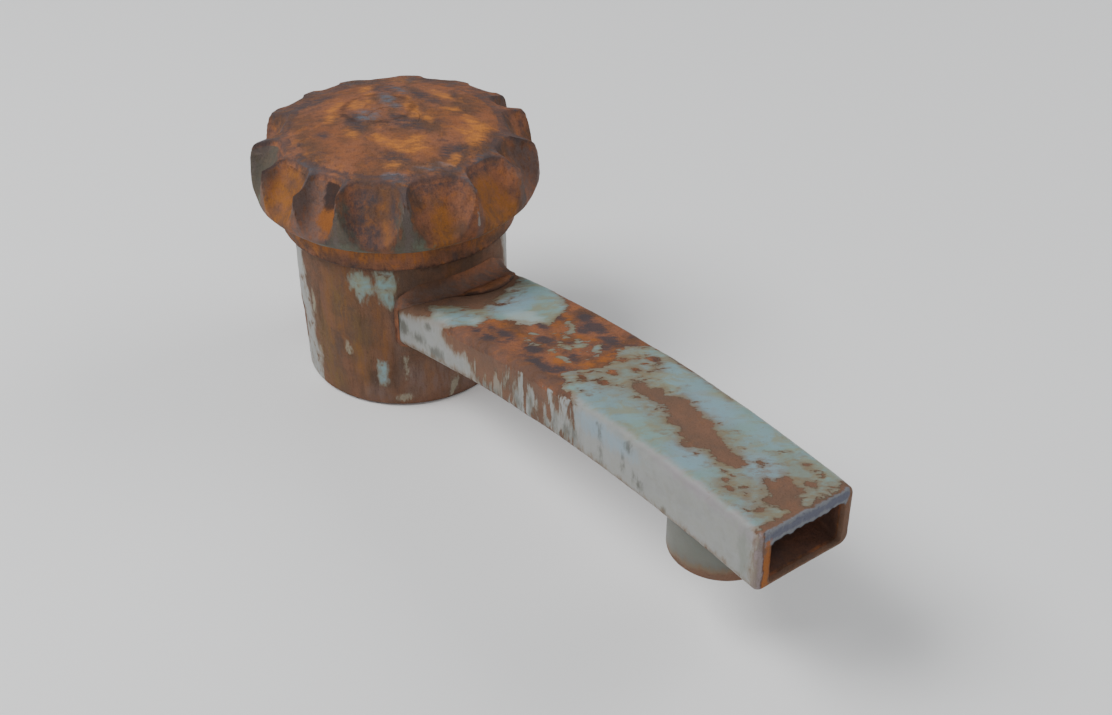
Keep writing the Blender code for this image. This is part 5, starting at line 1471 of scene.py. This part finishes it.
def threaded_rings(centre, outer, bore, low, high, count=96):
    """A bush whose bore carries a real helical thread."""
    heights = np.linspace(low, high, int((high - low) / THREAD_ROW))
    angles = even_angles(count)
    rings = [circle(outer - 0.25, low, count, centre), circle(outer, low + 0.25, count, centre),
             circle(outer, high, count, centre)]
    for z in heights[::-1]:
        turn = np.mod(z / THREAD_PITCH - angles / (2.0 * math.pi), 1.0)
        ridge = np.clip(1.4 * (1.0 - np.abs(2.0 * turn - 1.0)) - 0.2, 0.0, 1.0)
        ends = smoothstep(np.array(min(z - low, high - z)), 0.0, 0.5)
        radius = bore + THREAD_DEPTH * (0.5 - ridge * ends)
        rings.append(ring_at(radius, angles, z, centre))
    return np.array(rings)


def seal_rings():
    """The base seal: a rubber ring with rounded edges and a raised bead underneath."""
    low, high = span("base_seal_ring", 2)
    middle = (SEAL_INNER + SEAL_OUTER) / 2.0
    outline = [(SEAL_INNER, low + 0.1), (middle - SEAL_BEAD, low + 0.1), (middle, low - 0.15),
               (middle + SEAL_BEAD, low + 0.1), (SEAL_OUTER, low + 0.1), (SEAL_OUTER, high),
               (SEAL_INNER, high)]
    return turned_rings(divided(softened(outline, 0.25), 0.4), 200)


# ---------------------------------------------------------------- build

def build_spout():
    """The spout's tube, open at its tip and holed for the nozzle, and the fillet at its root."""
    look = worn_metal("spout_finish", SPOUT_TINTS, streak=0.15, orange=0.35, ragged=1.25, seed=1.0)
    make_piece("spout_tube", "root", spout_rings(), look,
               replaces=("spout_shell",), fields=spout_fields,
               cutters=(prism((NOZZLE_X, 0.0), SPOUT_HOLE_RADIUS, *SPOUT_HOLE_Z),))
    look = worn_metal("fillet_finish", FILLET_TINTS, streak=0.1, orange=0.2, ragged=0.5, seed=2.0,
                      painted=False)
    make_piece("root_fillet", "root", fillet_rings(), look,
               replaces=("spout_root_fillet",), fields=fillet_fields)


def build_body():
    """The cast body with its bores, and the collar on top of it."""
    look = worn_metal("body_finish", BODY_TINTS, streak=0.5, orange=0.22, ragged=1.2, seed=3.0)
    inlet = prism((INLET_X, 0.0), INLET_RADIUS + HOLE_GAP, -CUT_CLEAR, BASE_TOP_Z + CUT_CLEAR)
    studs = [prism((STUD_X, y), STUD_RADIUS + HOLE_GAP, -CUT_CLEAR, STUD_HOLE_TOP_Z)
             for y in (STUD_Y, -STUD_Y)]
    make_piece("body", "root", body_rings(), look, closed=False,
               replaces=("body_casing",), fields=body_fields,
               cutters=(inlet, *studs, box_rings(PORT)))
    look = worn_metal("collar_finish", COLLAR_TINTS, streak=0.2, orange=0.6, seed=4.0,
                      painted=False)
    make_piece("collar", "root", collar_rings(), look,
               replaces=("collar_ring",), fields=collar_fields)


def build_knob():
    """The knob's casting and the plain cap in its middle."""
    look = worn_metal("knob_finish", KNOB_TINTS, streak=0.35, orange=0.4, ragged=1.25, seed=5.0,
                      painted=False)
    make_piece("knob_casting", "handle", knob_rings(), look, closed=False,
               replaces=("knob",), fields=knob_fields, cutters=(knob_cutter(),))
    make_piece("index_button", "handle", index_cap_rings(), look, closed=False,
               replaces=("index_cap",), fields=knob_fields)


def build_nozzle():
    """The housing that stands under the spout's tip."""
    look = worn_metal("nozzle_finish", NOZZLE_TINTS, streak=0.1, orange=0.4, ragged=0.7, seed=6.0)
    make_piece("nozzle", "root",
               turned_rings(nozzle_profile(), 160, (NOZZLE_X, 0.0)), look,
               replaces=("aerator_housing",), fields=nozzle_fields)


def plain_finishes():
    """The finish of each slot whose pieces are not weathered one by one."""
    return {
        "brass": machined_metal("brass_finish", BRASS, 0.35, seed=7.0),
        "stainless": machined_metal("steel_finish", STEEL, 0.30, seed=8.0),
        "rubber": moulded("rubber_finish", RUBBER, 0.65, seed=9.0),
        "white_plastic": moulded("plastic_finish", PLASTIC, 0.40, seed=10.0),
        "inner_rust": worn_metal("plug_finish", streak=0.3, orange=0.25, seed=11.0, painted=False),
    }


def build_underside(finishes):
    """The seal, the threaded bushes and the aerator's pierced disc."""
    brass = finishes["brass"]
    make_piece("base_seal", "root", seal_rings(), finishes["rubber"],
               replaces=("base_seal_ring",))
    bush_top = span("inlet_bush", 2)[1]
    make_piece("inlet_thread", "root",
               threaded_rings((INLET_X, 0.0), INLET_RADIUS, INLET_BORE, 0.0, bush_top), brass,
               replaces=("inlet_bush",))
    insert_top = span("stud_insert_left", 2)[1]
    for name, side in (("left", 1.0), ("right", -1.0)):
        make_piece(f"stud_thread_{name}", "root",
                   threaded_rings((STUD_X, side * STUD_Y), STUD_RADIUS, STUD_BORE, 0.0, insert_top),
                   brass, replaces=(f"stud_insert_{name}",))
    low, high = span("aerator_insert", 2)
    middles = [(NOZZLE_X, 0.0)] + [
        (NOZZLE_X + DISC_HOLE_CIRCLE * math.cos(angle), DISC_HOLE_CIRCLE * math.sin(angle))
        for angle in even_angles(DISC_HOLES)]
    holes = [prism(middle, DISC_HOLE_RADIUS, low - CUT_CLEAR, high + CUT_CLEAR, 32)
             for middle in middles]
    profile = softened([(DISC_POLE, low + 0.15), (DISC_RADIUS, low), (DISC_RADIUS, high),
                        (DISC_POLE, high)], 0.2, closed=False)
    make_piece("aerator_disc", "root",
               turned_rings(divided(profile, 0.8, closed=False), 120, (NOZZLE_X, 0.0)),
               finishes["white_plastic"], closed=False, replaces=("aerator_insert",),
               cutters=tuple(holes))


def dress_cad_nodes(finishes):
    """Give each CAD node that still shows the finish of its slot."""
    slots = {}
    for row in frame["record"]["materials"]:
        for node in row.get("nodes", []):
            slots[node] = row.get("slot")
    for name, node in frame["nodes"].items():
        finish = finishes.get(slots.get(name))
        if finish is not None and not node.hide_render:
            node.data.materials.clear()
            node.data.materials.append(finish)


build_spout()
build_body()
build_knob()
build_nozzle()
finishes = plain_finishes()
build_underside(finishes)
dress_cad_nodes(finishes)

# ---------------------------------------------------------------- floor, light and camera

FLOOR_SIZE = 6.0
FLOOR_COLOUR = (0.86, 0.86, 0.86, 1.0)
FLOOR_ROUGHNESS = 0.8
FLOOR_DROP = 0.0002


def floor():
    """A plain pale floor that runs far past the picture."""
    half = FLOOR_SIZE / 2.0
    mesh = bpy.data.meshes.new("floor")
    mesh.from_pydata([(-half, -half, 0.0), (half, -half, 0.0), (half, half, 0.0),
                      (-half, half, 0.0)], [], [(0, 1, 2, 3)])
    plane = bpy.data.objects.new("floor", mesh)
    bpy.context.scene.collection.objects.link(plane)
    plane.location.z = -FLOOR_DROP
    material = bpy.data.materials.new("floor_finish")
    material.use_nodes = True
    surface = material.node_tree.nodes["Principled BSDF"]
    surface.inputs["Base Color"].default_value = FLOOR_COLOUR
    surface.inputs["Roughness"].default_value = FLOOR_ROUGHNESS
    mesh.materials.append(material)


def area_light(name, place, size, watts):
    """A soft square light aimed at the part."""
    data = bpy.data.lights.new(name, "AREA")
    data.size = size
    data.energy = watts
    light = bpy.data.objects.new(name, data)
    light.location = place
    direction = LIGHT_TARGET - Vector(place)
    light.rotation_euler = direction.to_track_quat("-Z", "Y").to_euler()
    bpy.context.scene.collection.objects.link(light)


CAMERA_AZIMUTH = 53.1
CAMERA_ELEVATION = 34.87
CAMERA_TARGET = Vector((0.04968, 0.005244, 0.022609))
CAMERA_DISTANCE = 0.30843
CAMERA_LENS = 49.18
CAMERA_SENSOR = 36.0
CAMERA_NEAR = 0.01


def camera():
    """The camera, at the photo's angle, distance and lens."""
    azimuth = math.radians(CAMERA_AZIMUTH)
    elevation = math.radians(CAMERA_ELEVATION)
    back = Vector((math.sin(azimuth) * math.cos(elevation),
                   -math.cos(azimuth) * math.cos(elevation), math.sin(elevation)))
    data = bpy.data.cameras.new("camera")
    data.lens = CAMERA_LENS
    data.sensor_width = CAMERA_SENSOR
    data.sensor_fit = "HORIZONTAL"
    data.clip_start = CAMERA_NEAR
    item = bpy.data.objects.new("camera", data)
    item.location = CAMERA_TARGET + back * CAMERA_DISTANCE
    item.rotation_euler = (-back).to_track_quat("-Z", "Y").to_euler()
    bpy.context.scene.collection.objects.link(item)
    bpy.context.scene.camera = item


# Each light's name, place, size and power
LIGHTS = (("key", (-0.22, -0.45, 0.70), 0.45, 6.6), ("fill", (0.7, -0.5, 0.35), 0.7, 1.9),
          ("back", (0.25, 0.65, 0.50), 0.5, 2.6))
LIGHT_TARGET = Vector((0.05, 0.0, 0.03))
SKY_COLOUR = (0.9, 0.93, 0.96, 1.0)
SKY_STRENGTH = 0.36

floor()
for light in LIGHTS:
    area_light(*light)
camera()

world = bpy.data.worlds.new("world")
world.use_nodes = True
world.node_tree.nodes["Background"].inputs["Color"].default_value = SKY_COLOUR
world.node_tree.nodes["Background"].inputs["Strength"].default_value = SKY_STRENGTH
bpy.context.scene.world = world
